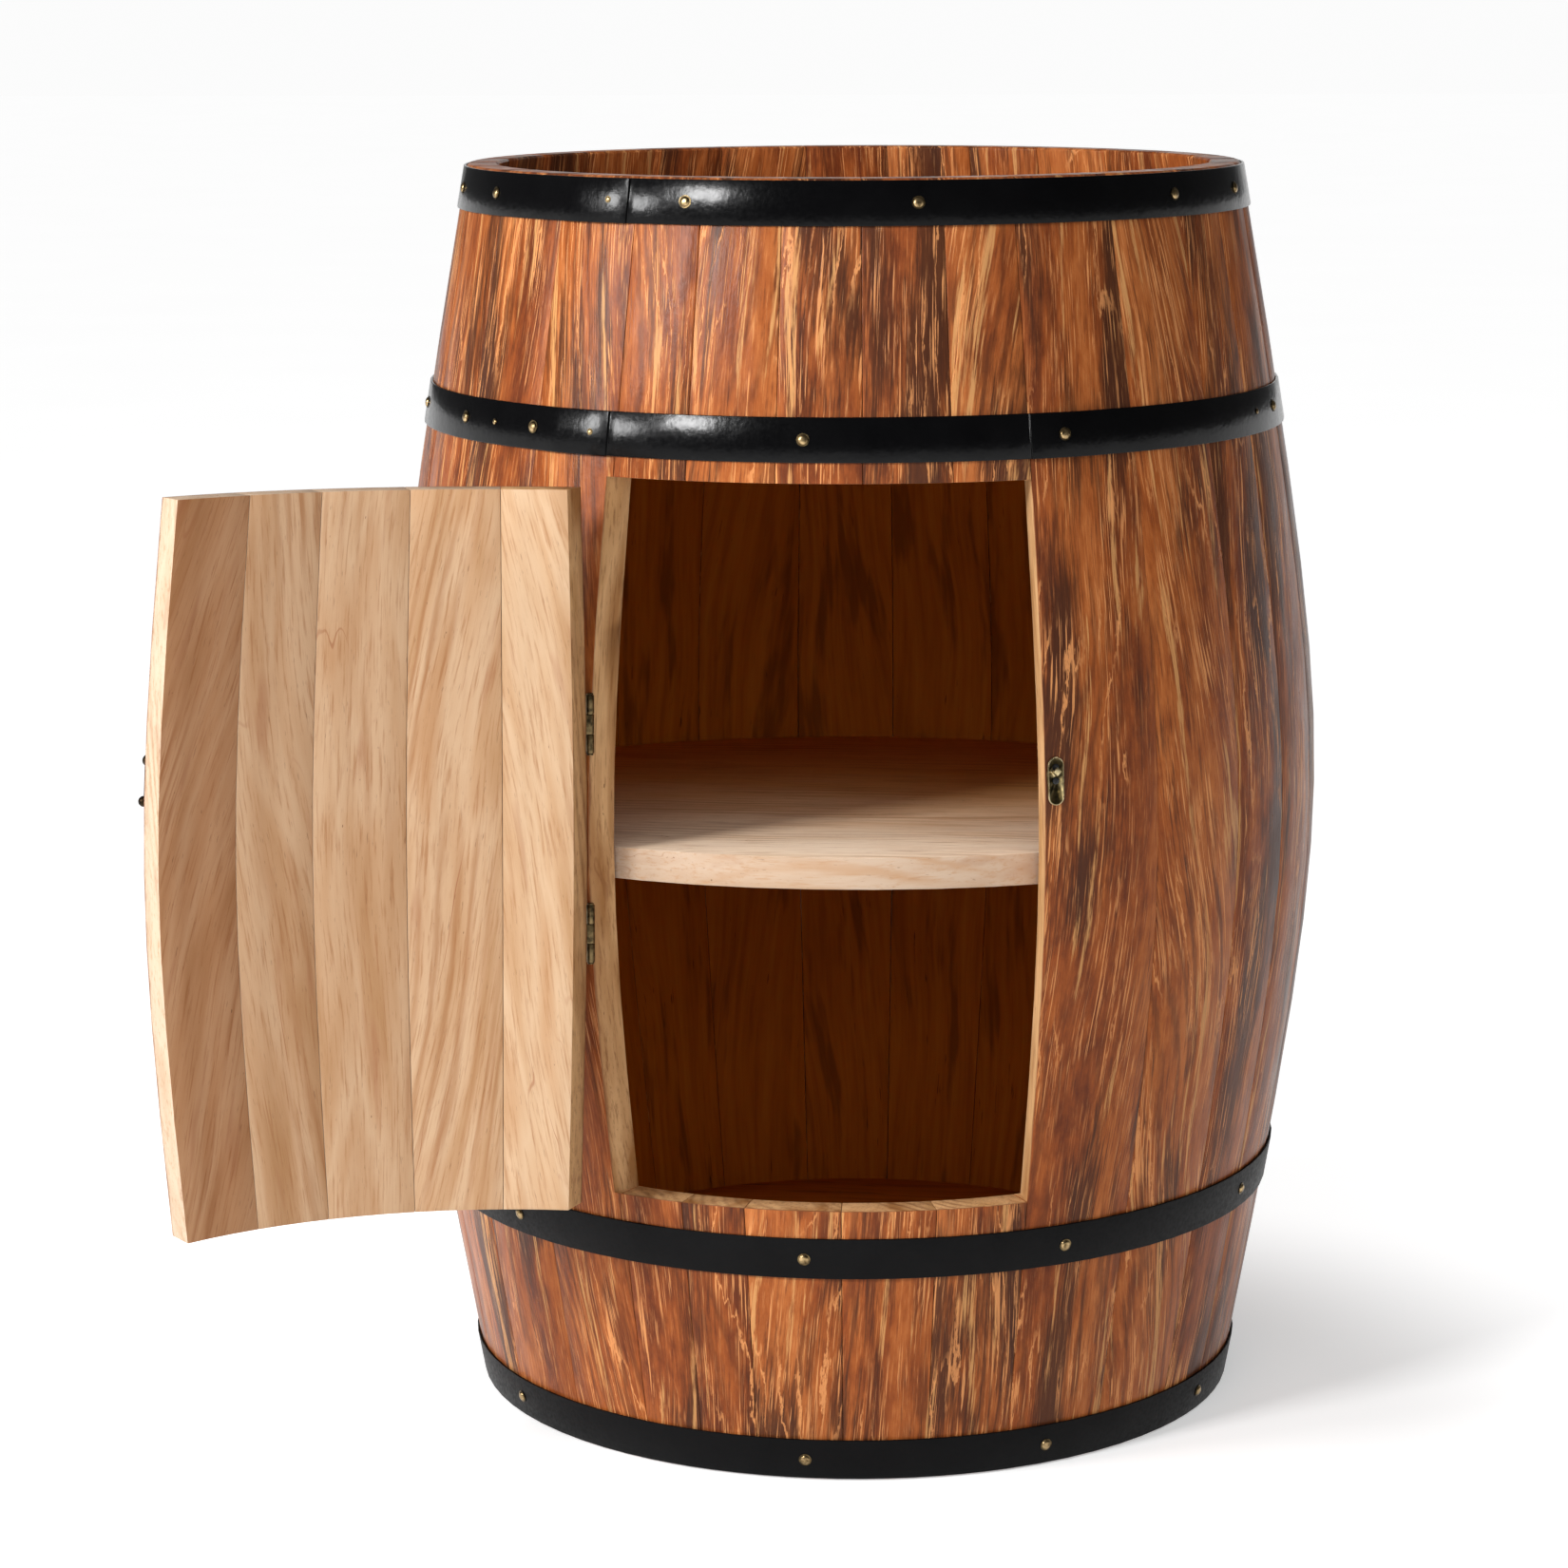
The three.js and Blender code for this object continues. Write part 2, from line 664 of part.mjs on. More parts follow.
// The hook's section, across the latched arm: a floor that the arm rests on and a lip in
// front of it. Extruded along the arm.
function keeperHook() {
  const floor = armWidth / 2 + seatGap;
  const foot = seatGap + keeperThickness / 2;
  const lip = foot + keeperThickness / 2 + hookInside;
  const section = new THREE.Shape();
  section.moveTo(-floor - hookWall, foot);
  section.lineTo(-floor, foot);
  section.lineTo(-floor, lip);
  section.lineTo(-floor + hookLipCover, lip);
  section.lineTo(-floor + hookLipCover, lip + hookWall);
  section.lineTo(-floor - hookWall, lip + hookWall);
  section.closePath();
  const geometry = new THREE.ExtrudeGeometry(section, { depth: hookWidth, bevelEnabled: false });
  geometry.translate(0, 0, -hookWidth / 2).rotateX(Math.PI / 2);
  return geometry.rotateZ(rad(latchedAngle));
}

function keeperPlate() {
  const radius = keeperWidth / 2;
  const straight = keeperHeight / 2 - radius;
  const outline = new THREE.Shape();
  outline.absarc(0, straight, radius, 0, Math.PI, false);
  outline.absarc(0, -straight, radius, Math.PI, Math.PI * 2, false);
  const settings = { depth: keeperThickness, bevelEnabled: false, curveSegments: roundSegments / 2 };
  return new THREE.ExtrudeGeometry(outline, settings).translate(0, 0, seatGap);
}

function makeKeeper() {
  const along = rad(latchedAngle);
  const shift = THREE.MathUtils.radToDeg(hookReach * Math.sin(along) / outerRadius(latchHeight));
  const frame = onWall(latchAngle + shift, keeperCentreHeight);
  const hookCentre = latchHeight - hookReach * Math.cos(along) - keeperCentreHeight;
  const geometry = unite(keeperPlate(), keeperHook().translate(0, hookCentre, 0));
  frame.add(namedMesh('latch_keeper', geometry, brass()));
  return frame;
}

// Door leaf in its shut place. The board under the latch is bored for the pivot.
function makeDoorLeaf() {
  const group = new THREE.Group();
  const edges = splitByShares(-doorHalfAngle, doorHalfAngle, doorWidthShares);
  const bottom = doorwayBottom + doorBottomGap;
  const top = doorwayTop - doorTopGap;
  const boards = boardRow('door_board', edges, bottom, top, stainedPine, sawLean);
  const latch = onWall(latchAngle, latchHeight);
  latch.updateMatrix();
  const bore = post(pivotBore, -pivotDepth - seatGap, cutOverrun, roundSegments);
  const latchBoard = boards.children.at(-1);
  latchBoard.geometry = cut(latchBoard.geometry, bore.applyMatrix4(latch.matrix));
  const hingeBoard = boards.children.at(0);
  hingeBoard.geometry = cut(hingeBoard.geometry, ...hingeMortises(1));
  latch.add(namedMesh('latch_arm', latchArm(), brass()));
  latch.add(namedMesh('latch_pivot', latchPivot(), brass()));
  group.add(boards, latch, makeDoorHingeHalves());
  return group;
}

// The shut door turned open about the line of the hinge pins
function makeOpenDoor() {
  const leaf = makeDoorLeaf();
  leaf.position.copy(pinPoint).negate();
  const swing = new THREE.Group();
  swing.position.copy(pinPoint);
  swing.quaternion.setFromAxisAngle(pinAxis, -rad(doorOpenAngle));
  swing.add(leaf);
  return swing;
}

// The floor plane and the middle of the open cabinet's footprint are the origin.
function standOnOrigin(cabinet) {
  cabinet.updateMatrixWorld(true);
  const box = new THREE.Box3().setFromObject(cabinet, true);
  const middle = box.getCenter(new THREE.Vector3());
  cabinet.position.set(-middle.x, -middle.y, -box.min.z);
}

const group = new THREE.Group();
group.add(makeWall(), makeHoops());
group.add(makeHead('head_top', barrelHeight - headDepth - headThickness));
group.add(makeHead('head_bottom', headDepth));
group.add(makeShelf(), makeCleats(), makeFixedHingeHalves(), makeKeeper(), makeOpenDoor());
standOnOrigin(group);

export default group;
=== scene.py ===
# Barrel bar cabinet. The frame's solids get their wood, steel and brass, and the nails, screws,
# floor and lights are added. Metres, +Z up. Angles round the barrel start at the middle of the
# doorway, which faces -Y, and grow towards +X.
import json
import math
import random

import bpy
from mathutils import Matrix, Vector


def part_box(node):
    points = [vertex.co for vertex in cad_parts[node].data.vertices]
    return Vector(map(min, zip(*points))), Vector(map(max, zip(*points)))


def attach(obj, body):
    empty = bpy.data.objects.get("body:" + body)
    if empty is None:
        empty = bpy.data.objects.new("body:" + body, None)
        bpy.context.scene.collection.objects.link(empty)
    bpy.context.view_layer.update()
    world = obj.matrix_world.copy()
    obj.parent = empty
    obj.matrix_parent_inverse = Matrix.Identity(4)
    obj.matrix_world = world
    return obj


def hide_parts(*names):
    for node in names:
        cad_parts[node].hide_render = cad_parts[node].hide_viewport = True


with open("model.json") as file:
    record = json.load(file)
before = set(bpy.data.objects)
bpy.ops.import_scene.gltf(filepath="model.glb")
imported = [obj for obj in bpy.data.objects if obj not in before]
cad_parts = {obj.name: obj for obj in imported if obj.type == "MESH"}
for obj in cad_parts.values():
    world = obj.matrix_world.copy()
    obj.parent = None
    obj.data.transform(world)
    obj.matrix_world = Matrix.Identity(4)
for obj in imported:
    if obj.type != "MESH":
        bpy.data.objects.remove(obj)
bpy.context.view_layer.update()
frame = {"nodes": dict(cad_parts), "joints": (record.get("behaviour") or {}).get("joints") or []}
nodes = frame["nodes"]
MM = 0.001

# Barrel, in metres. A hyperbola gives the bulge, rounder at the belly for a larger roundness.
BARREL_HEIGHT = 800 * MM
BELLY_RADIUS = 301.6 * MM
END_RADIUS = 247.7 * MM
BULGE_ROUNDNESS = 0.36
head_low, head_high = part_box("head_bottom")
AXIS = Vector(((head_low.x + head_high.x) / 2, (head_low.y + head_high.y) / 2, 0))

door_joint = next(j for j in frame["joints"] if j["name"] == "door_hinge")
PIN = Vector(door_joint["pos_m"])
SHUT_ANGLE = math.radians(door_joint["range_deg"][0])
TO_SHUT = Matrix.Rotation(SHUT_ANGLE, 3, Vector(door_joint["axis"]))


def outer_radius(z):
    half = BARREL_HEIGHT / 2
    rise = math.hypot(1, BULGE_ROUNDNESS) - BULGE_ROUNDNESS
    drop = math.hypot((z - half) / half, BULGE_ROUNDNESS) - BULGE_ROUNDNESS
    return BELLY_RADIUS - (BELLY_RADIUS - END_RADIUS) * drop / rise


def outer_slope(z):
    step = MM
    return (outer_radius(z + step) - outer_radius(z - step)) / (2 * step)


def straight_out(angle):
    """The level direction away from the axis at an angle in radians."""
    return Vector((math.sin(angle), -math.cos(angle), 0))


def on_barrel(angle, z, lift):
    """A matrix on the wall's outer face, lifted off it: local x round the barrel, y up, z
    outwards. The angle is in degrees."""
    turn = math.radians(angle)
    out = (straight_out(turn) - Vector((0, 0, outer_slope(z)))).normalized()
    around = Vector((math.cos(turn), math.sin(turn), 0))
    up = out.cross(around)
    place = AXIS + straight_out(turn) * outer_radius(z)
    place.z = z
    place += out * lift
    matrix = Matrix((around, up, out)).transposed().to_4x4()
    matrix.translation = place
    return matrix


# Camera, found from the photograph's silhouette, rims and hoops. Lengths are in metres, angles
# in radians, the focal length in pixels of the photograph and the sensor's width in millimetres.
IMAGE_SIZE = 1650
FOCAL_PIXELS = 4472.133
CAMERA_DISTANCE = 2.757081
CAMERA_HEIGHT = 0.918408
CAMERA_PITCH = 0.18859
CAMERA_YAW = -0.016771
CAMERA_ROLL = -0.004290
CAMERA_SIDE = math.radians(4.9)
SENSOR = 36.0


def place_camera():
    data = bpy.data.cameras.new("photograph_camera")
    data.sensor_width = SENSOR
    data.lens = FOCAL_PIXELS / IMAGE_SIZE * SENSOR
    camera = bpy.data.objects.new("photograph_camera", data)
    bpy.context.collection.objects.link(camera)
    ahead = Vector((
        math.sin(CAMERA_YAW) * math.cos(CAMERA_PITCH),
        math.cos(CAMERA_YAW) * math.cos(CAMERA_PITCH),
        -math.sin(CAMERA_PITCH),
    ))
    level = Vector((math.cos(CAMERA_YAW), -math.sin(CAMERA_YAW), 0))
    above = level.cross(ahead)
    right = level * math.cos(CAMERA_ROLL) + above * math.sin(CAMERA_ROLL)
    up = above * math.cos(CAMERA_ROLL) - level * math.sin(CAMERA_ROLL)
    matrix = Matrix((right, up, -ahead)).transposed().to_4x4()
    matrix.translation = Vector((0, -CAMERA_DISTANCE, CAMERA_HEIGHT))
    camera.matrix_world = Matrix.Translation(AXIS) @ Matrix.Rotation(CAMERA_SIDE, 4, "Z") @ matrix
    bpy.context.scene.camera = camera


place_camera()


# Material helpers
def linear(code):
    """An sRGB hex colour as linear red, green, blue and alpha."""
    values = [int(code[i:i + 2], 16) / 255 for i in (1, 3, 5)]
    return [v / 12.92 if v <= 0.04045 else ((v + 0.055) / 1.055) ** 2.4 for v in values] + [1]


def feed(tree, node, inputs):
    """Gives a node its inputs, in order or by name, each as a value, as an output to link, or as
    a node whose first output is linked."""
    pairs = inputs.items() if isinstance(inputs, dict) else enumerate(inputs)
    for key, value in pairs:
        if isinstance(value, bpy.types.Node):
            value = value.outputs[0]
        if isinstance(value, bpy.types.NodeSocket):
            tree.links.new(value, node.inputs[key])
        else:
            node.inputs[key].default_value = value


def add(tree, kind, inputs=(), ramp=(), **settings):
    """Adds a node with its settings, its inputs and its ramp's stops."""
    made = tree.nodes.new("ShaderNode" + kind)
    for name, value in settings.items():
        setattr(made, name, value)
    feed(tree, made, inputs)
    stops = made.color_ramp.elements if ramp else []
    while len(stops) < len(ramp):
        stops.new(0.5)
    for stop, (position, colour) in zip(stops, ramp):
        stop.position = position
        stop.color = linear(colour)
    return made


def new_material(name):
    material = bpy.data.materials.new(name)
    material.use_nodes = True
    tree = material.node_tree
    return material, tree, tree.nodes["Principled BSDF"]


def board_place(tree):
    """A place on the board: across, along and into it, in metres."""
    return add(tree, "Attribute", attribute_name="grain").outputs["Vector"]


def board_tone(tree):
    return add(tree, "Attribute", attribute_name="tone").outputs["Fac"]


def wood_depth(tree):
    return add(tree, "Attribute", attribute_name="depth").outputs["Fac"]


def streaks(tree, place, across_mm, along_mm, detail=3, roughness=0.5, distortion=0.0):
    """Noise drawn out along the board. The sizes are those of one blotch."""
    across, along = 1 / (across_mm * MM), 1 / (along_mm * MM)
    scaled = add(tree, "VectorMath", (place, (across, along, across)), operation="MULTIPLY")
    return add(tree, "TexNoise", {
        "Vector": scaled, "Scale": 1, "Detail": detail,
        "Roughness": roughness, "Distortion": distortion,
    })


def spots(tree, across_mm, detail):
    """Noise with blotches of one size in every direction."""
    return add(tree, "TexNoise", {
        "Vector": add(tree, "TexCoord").outputs["Object"],
        "Scale": 1 / (across_mm * MM), "Detail": detail,
    })


def swayed_place(tree, sway_mm, width_mm, length_mm):
    """A place on the board with the grain bent sideways. The width and the length are those of
    one bend."""
    place = board_place(tree)
    bends = streaks(tree, place, width_mm, length_mm, detail=1).outputs["Color"]
    middle = (0.5, 0.5, 0.5)
    bends = add(tree, "VectorMath", (bends, middle), operation="SUBTRACT")
    sideways = (2 * sway_mm * MM, 0, 0)
    bends = add(tree, "VectorMath", (bends, sideways), operation="MULTIPLY")
    return add(tree, "VectorMath", (place, bends), operation="ADD")


# Nearly all of a noise lies between these values
NOISE_LOW = 0.3
NOISE_HIGH = 0.7


def centred(tree, noise):
    """The noise moved down, so that it swings round zero."""
    return add(tree, "Math", (noise, 0.5), operation="SUBTRACT")


def plus(tree, base, *weighted):
    """The base, and each value that follows times its weight."""
    for value, weight in weighted:
        base = add(tree, "Math", (value, weight, base), operation="MULTIPLY_ADD")
    return base


def fade(tree, value, start, end):
    """Zero at the start and one at the end, which may be the lower of the two."""
    rising = (value, start, end, 0.0, 1.0)
    falling = (value, end, start, 1.0, 0.0)
    return add(tree, "MapRange", rising if start < end else falling,
               interpolation_type="SMOOTHSTEP")


def layer(tree, below, share, colour, *masks, how="MIX"):
    """A colour laid over what is below by its share, where all the masks are one."""
    cover = share
    for mask in masks:
        cover = add(tree, "Math", (mask, cover), operation="MULTIPLY")
    mixed = add(tree, "Mix", {0: cover, 6: below, 7: linear(colour)},
                data_type="RGBA", blend_type=how)
    return mixed.outputs[2]


def growth_rings(tree, place, spacing_mm, sway_mm, width_mm, length_mm, frayed):
    """Bands of the growth rings, from zero to a half and back. Where the sway is strong they
    close into arches. The width and the length are those of one arch. The last value is a noise
    that tears the bands' edges, and its weight."""
    sway = streaks(tree, place, width_mm, length_mm, detail=2, roughness=0.4)
    parts = add(tree, "SeparateXYZ", (place,)).outputs
    across = add(tree, "Math", (parts["X"], parts["Z"]), operation="ADD")
    rings = add(tree, "Math", (across, spacing_mm * MM), operation="DIVIDE")
    rings = plus(tree, rings, (sway, sway_mm / spacing_mm), frayed)
    return add(tree, "Math", (rings, 0.5), operation="PINGPONG")


# How much a board's tone darkens its stain, and its wash
STAIN_TONE_SHARE = 0.11
WASH_TONE_SHARE = 0.05


# Pine, stained orange-brown and brushed with semi-gloss varnish. The eye sees long soft dark
# flames, pale sapwood stripes and fine light veins under an orange-peel shine.
def stained_colour(tree, place):
    """The stain's colour, and a mask of its fine light veins."""
    fibres = streaks(tree, place, 1.4, 30, detail=5, roughness=0.66)
    mottle = streaks(tree, place, 7, 18, detail=4, roughness=0.62)
    frayed = (centred(tree, fibres), 0.30)
    tone = board_tone(tree)
    darker = (tone, -STAIN_TONE_SHARE)

    # Ground, deeper in the darker boards
    ground = streaks(tree, place, 30, 180, detail=4, roughness=0.6)
    ground = plus(tree, ground, darker, (centred(tree, mottle), 0.45))
    body = add(tree, "ValToRGB", (ground,), ramp=[
        (0.28, "#653018"), (0.42, "#884520"), (0.53, "#9C5427"), (0.68, "#B26836"),
    ])
    body = layer(tree, body, 0.6, "#55291A", fade(tree, fibres, 0.48, 0.30))
    body = layer(tree, body, 0.5, "#C9834C", fade(tree, fibres, 0.54, 0.70))

    # Late wood of the growth rings, in some places
    torn = streaks(tree, place, 5, 26, detail=4, roughness=0.65)
    rings = growth_rings(tree, place, spacing_mm=13, sway_mm=100, width_mm=70, length_mm=250,
                         frayed=(torn, 0.9))
    in_places = fade(tree, streaks(tree, place, 50, 160, detail=2), 0.42, 0.56)
    body = layer(tree, body, 0.55, "#552B18", fade(tree, rings, 0.18, 0.48), in_places)

    # Wide dark flames, and narrow smoky ones
    flames = plus(tree, streaks(tree, place, 42, 230), frayed, darker)
    body = layer(tree, body, 0.85, "#3F2418", fade(tree, flames, 0.47, 0.34))
    smoke = plus(tree, streaks(tree, place, 9, 110, roughness=0.55), frayed)
    body = layer(tree, body, 0.5, "#46281A", fade(tree, smoke, 0.42, 0.31))

    # Pale sapwood stripes, fewer in the darker boards
    sap = streaks(tree, place, 10, 200, detail=4, roughness=0.55)
    sap = plus(tree, sap, frayed, (tone, -STAIN_TONE_SHARE / 2))
    body = layer(tree, body, 0.75, "#CC965E", fade(tree, sap, 0.60, 0.67),
                 fade(tree, fibres, 0.36, 0.52))

    # Light veins: the rims of the rings, short needles and long threads
    rims = add(tree, "Math", (fade(tree, rings, 0.06, 0.02), in_places), operation="MULTIPLY")
    needles = fade(tree, streaks(tree, place, 1.9, 46, detail=4, roughness=0.6), 0.58, 0.65)
    threads = fade(tree, streaks(tree, place, 1.5, 95, roughness=0.55), 0.60, 0.64)
    veins = add(tree, "Math", (rims, needles), operation="MAXIMUM")
    veins = add(tree, "Math", (veins, threads), operation="MAXIMUM")
    patches = fade(tree, streaks(tree, place, 26, 90, detail=2), 0.42, 0.56)
    veins = add(tree, "Math", (veins, patches), operation="MULTIPLY")
    return layer(tree, body, 0.8, "#DC955C", veins), veins


def stained_pine():
    material, tree, shader = new_material("stained_varnished_pine")
    place = swayed_place(tree, sway_mm=26, width_mm=110, length_mm=300)
    colour, veins = stained_colour(tree, place)
    peel = streaks(tree, board_place(tree), 2.6, 3.6, detail=2)
    height = plus(tree, 0.0, (peel, 0.6), (streaks(tree, place, 1.8, 60), 0.5), (veins, 0.35))
    patchy = streaks(tree, place, 14, 40)
    feed(tree, shader, {
        "Base Color": colour,
        "Normal": add(tree, "Bump", {"Height": height, "Strength": 0.5, "Distance": 0.5 * MM}),
        "Roughness": add(tree, "MapRange", (patchy, NOISE_LOW, NOISE_HIGH, 0.27, 0.40)),
        "Specular IOR Level": 0.13,
    })
    return material


# Inside of the wall: pine with a thin brown wash, brushed on and left matt. The eye sees a
# warm deep brown with long soft darker runs.
def washed_pine():
    material, tree, shader = new_material("brown_washed_pine")
    place = swayed_place(tree, sway_mm=20, width_mm=80, length_mm=240)
    fibres = streaks(tree, place, 7, 110, detail=4, roughness=0.6)
    body = add(tree, "ValToRGB", (fibres,), ramp=[
        (0.30, "#A35610"), (0.5, "#B66313"), (0.70, "#C06D1A"),
    ])
    runs = streaks(tree, place, 15, 120, roughness=0.55)
    runs = plus(tree, runs, (board_tone(tree), -WASH_TONE_SHARE))
    body = layer(tree, body, 0.6, "#66310C", fade(tree, runs, 0.46, 0.32))
    hairs = fade(tree, streaks(tree, place, 1.6, 22, detail=2), 0.34, 0.26)
    patches = fade(tree, streaks(tree, place, 30, 70, detail=2), 0.48, 0.62)
    body = layer(tree, body, 0.8, "#3C1B08", hairs, patches)
    feed(tree, shader, {
        "Base Color": body,
        "Normal": add(tree, "Bump", {"Height": fibres, "Strength": 0.2, "Distance": 0.4 * MM}),
        "Roughness": 0.75,
        "Specular IOR Level": 0.1,
    })
    return material


# The half width of a crack as a share of its noise, and the share of it that has its full colour
CRACK_SHARE = 0.006
CRACK_CORE_SHARE = 0.2


# Pine as the saw and plane left it. The eye sees a pale tan ground with slanting warm growth
# bands, hair-fine brown pores and a few red-brown cracks.
def bare_pine(name, ground, band, pore, crack, crack_share, tone_share=1.0):
    """The ground is a ramp, and the other colours are laid over it."""
    material, tree, shader = new_material(name)
    place = swayed_place(tree, sway_mm=24, width_mm=110, length_mm=320)
    soft = streaks(tree, place, 26, 190, distortion=0.4)
    body = add(tree, "ValToRGB", (soft,), ramp=ground)

    # Late wood of the growth rings, and darker fibres
    torn = streaks(tree, place, 5, 40, detail=4, roughness=0.6)
    rings = growth_rings(tree, place, spacing_mm=11, sway_mm=46, width_mm=70, length_mm=330,
                         frayed=(torn, 0.6))
    in_places = fade(tree, streaks(tree, place, 50, 200, detail=2), 0.42, 0.66)
    body = layer(tree, body, 0.6, band, fade(tree, rings, 0.16, 0.48), in_places)
    fibres = streaks(tree, place, 1.8, 36, detail=4, roughness=0.64)
    body = layer(tree, body, 0.6, band, fade(tree, fibres, 0.50, 0.30))

    # Pores and flecks, drawn coarser than real ones so that they show
    pores = streaks(tree, place, 0.8, 9, detail=2)
    body = layer(tree, body, 0.5, pore, fade(tree, pores, 0.34, 0.24))
    flecks = streaks(tree, place, 2.2, 6, detail=1)
    body = layer(tree, body, 0.8, pore, fade(tree, flecks, 0.22, 0.17))

    # Cracks where a wide noise passes its middle, and warm stripes of the same colour
    seam = centred(tree, streaks(tree, place, 30, 190, detail=2, distortion=0.4))
    seam = add(tree, "Math", (seam,), operation="ABSOLUTE")
    seam = fade(tree, seam, CRACK_SHARE, CRACK_SHARE * CRACK_CORE_SHARE)
    cracked = fade(tree, streaks(tree, place, 78, 152, detail=2), 0.56, 0.66)
    body = layer(tree, body, crack_share, crack, seam, cracked)
    stripes = streaks(tree, place, 12, 90, detail=2)
    body = layer(tree, body, crack_share / 2, crack, fade(tree, stripes, 0.60, 0.76))

    body = layer(tree, body, tone_share, "#C79A70", board_tone(tree), how="MULTIPLY")
    height = plus(tree, pores, (fibres, 0.8))
    feed(tree, shader, {
        "Base Color": body,
        "Normal": add(tree, "Bump", {"Height": height, "Strength": 0.2, "Distance": 0.3 * MM}),
        "Roughness": 0.62,
        "Specular IOR Level": 0.25,
    })
    return material, tree, shader, body


def door_inner_pine():
    return bare_pine("planed_pine_door", [
        (0.30, "#B2885F"), (0.46, "#C39D78"), (0.58, "#CDAC8A"), (0.74, "#BC926B"),
    ], band="#9E6A3E", pore="#6F4C34", crack="#96552F", crack_share=0.7)[0]


# The shelf's edges and cleats: its pine made greyer and darker than on its top, as painted shade
def shelf_edge_pine():
    return bare_pine("planed_pine_shelf_edge", [
        (0.30, "#B59378"), (0.5, "#C2A992"), (0.72, "#B99B80"),
    ], band="#B48A64", pore="#7A5A3E", crack="#9C6A42", crack_share=0.6)[0]


def shelf_pine():
    """Bare pine, yellower and darker towards the rear: painted shade, warm like the light off the
    brown walls.
    """
    material, tree, shader, body = bare_pine("planed_pine_shelf", [
        (0.30, "#EACBAB"), (0.5, "#F4DCC2"), (0.72, "#EDD0B0"),
    ], band="#B5855B", pore="#8A6548", crack="#A8744C", crack_share=0.5)
    # Painted shade: the shelf's rear darkens and yellows, along a cloudy edge
    clouds = streaks(tree, board_place(tree), 60, 160)
    back = fade(tree, plus(tree, wood_depth(tree), (clouds, 0.12)), -0.20, 0.18)
    body = layer(tree, body, 0.9, "#F4BE5E", back, how="MULTIPLY")
    feed(tree, shader, {"Base Color": body})
    return material


# Sawn edges of the doorway and the door: bare pine with the stain run a little over the corner.
# The stain ends up to 5 mm in, along a ragged line.
STAIN_RUN = 5 * MM
STAIN_FADE = 2.5 * MM


def sawn_pine(name, ground, band):
    material, tree, shader, body = bare_pine(
        name, ground, band, pore="#6B4A2C", crack="#7A4526", crack_share=0.6, tone_share=0.0)
    ragged = streaks(tree, board_place(tree), 9, 30)
    depth = plus(tree, wood_depth(tree), (ragged, -STAIN_RUN))
    body = layer(tree, body, 0.8, "#7A4527", fade(tree, depth, 0.0, -STAIN_FADE))
    feed(tree, shader, {"Base Color": body})
    return material


# Hoop steel, rolled and brushed with black enamel, glossy on the upper hoops and satin on the
# lower ones. The eye sees a near-black band whose shine breaks up over small dents and over
# brush marks, which are drawn coarser than real ones so that they show.
DENT_MM = 26.32
BRUSH_MARK_MM = 2.381


def enamelled_steel(name, roughness, gloss):
    material, tree, shader = new_material(name)
    dents = spots(tree, DENT_MM, detail=4)
    marks = spots(tree, BRUSH_MARK_MM, detail=2)
    height = plus(tree, dents, (marks, 0.12))
    smooth, rough = roughness * 0.85, roughness * 1.2
    feed(tree, shader, {
        "Base Color": add(tree, "ValToRGB", (dents,), ramp=[(0.3, "#040405"), (0.7, "#080809")]),
        "Normal": add(tree, "Bump", {"Height": height, "Strength": 0.5, "Distance": 0.9 * MM}),
        "Roughness": add(tree, "MapRange", (marks, NOISE_LOW, NOISE_HIGH, smooth, rough)),
        "Specular IOR Level": gloss,
    })
    return material


# Brass, pressed and darkened in a pickle, then rubbed. The eye sees dull brown metal that is
# bright yellow where it is rubbed.
RUBBED_SPOT_MM = 3.846


def antique_brass(name, dark, bright, roughness):
    material, tree, shader = new_material(name)
    rubbed = spots(tree, RUBBED_SPOT_MM, detail=4)
    feed(tree, shader, {
        "Base Color": add(tree, "ValToRGB", (rubbed,), ramp=[(0.36, dark), (0.62, bright)]),
        "Normal": add(tree, "Bump", {"Height": rubbed, "Strength": 0.2, "Distance": 0.2 * MM}),
        "Metallic": 1,
        "Roughness": roughness,
    })
    return material


STAINED = stained_pine()
WASHED = washed_pine()
DOOR_INSIDE = door_inner_pine()
SHELF_PINE = shelf_pine()
SHELF_EDGE = shelf_edge_pine()
SAWN = sawn_pine("sawn_pine_doorway", [
    (0.32, "#A07042"), (0.5, "#D0A474"), (0.68, "#B48654"),
], band="#744522")
SAWN_DOOR = sawn_pine("sawn_pine_door_edge", [
    (0.30, "#B89A7E"), (0.5, "#C8AF96"), (0.72, "#BEA186"),
], band="#9E7A56")
GLOSS_STEEL = enamelled_steel("black_gloss_enamel_steel", roughness=0.18, gloss=0.20)
SATIN_STEEL = enamelled_steel("black_satin_enamel_steel", roughness=0.45, gloss=0.10)
DARK_BRASS = antique_brass("antique_brass_hinge", "#3A3122", "#7A6848", 0.42)
NAIL_BRASS = antique_brass("antique_brass_nail", "#5A4A30", "#BFA478", 0.34)
KEEPER_BRASS = antique_brass("antique_brass_keeper", "#4C4430", "#8C7C56", 0.4)
RUBBED_BRASS = antique_brass("rubbed_brass_border", "#A08C62", "#DCCBA0", 0.3)
BLACKENED_BRASS = antique_brass("blackened_brass_latch", "#17120C", "#3A2E20", 0.45)
SCREW_STEEL = enamelled_steel("blackened_screw_steel", roughness=0.35, gloss=0.5)


# Copies of the frame's solids. Their triangles are paired into flat faces, and their corners
# are eased by these widths.
EASE_WALL = 0.35 * MM
EASE_DOOR = 0.15 * MM
EASE_FLAT = 0.6 * MM
EASE_HOOP = 0.35 * MM
EASE_METAL = 0.12 * MM
EASE_SEGMENTS = 2
MERGE_DISTANCE = 0.002 * MM
PAIRING_ANGLE = 0.05
PAIRING_SKEW = 0.5
# Edges sharper than these angles are eased, and kept sharp in the shading
EASED_ANGLE = math.radians(32)
SHARP_ANGLE = math.radians(38)
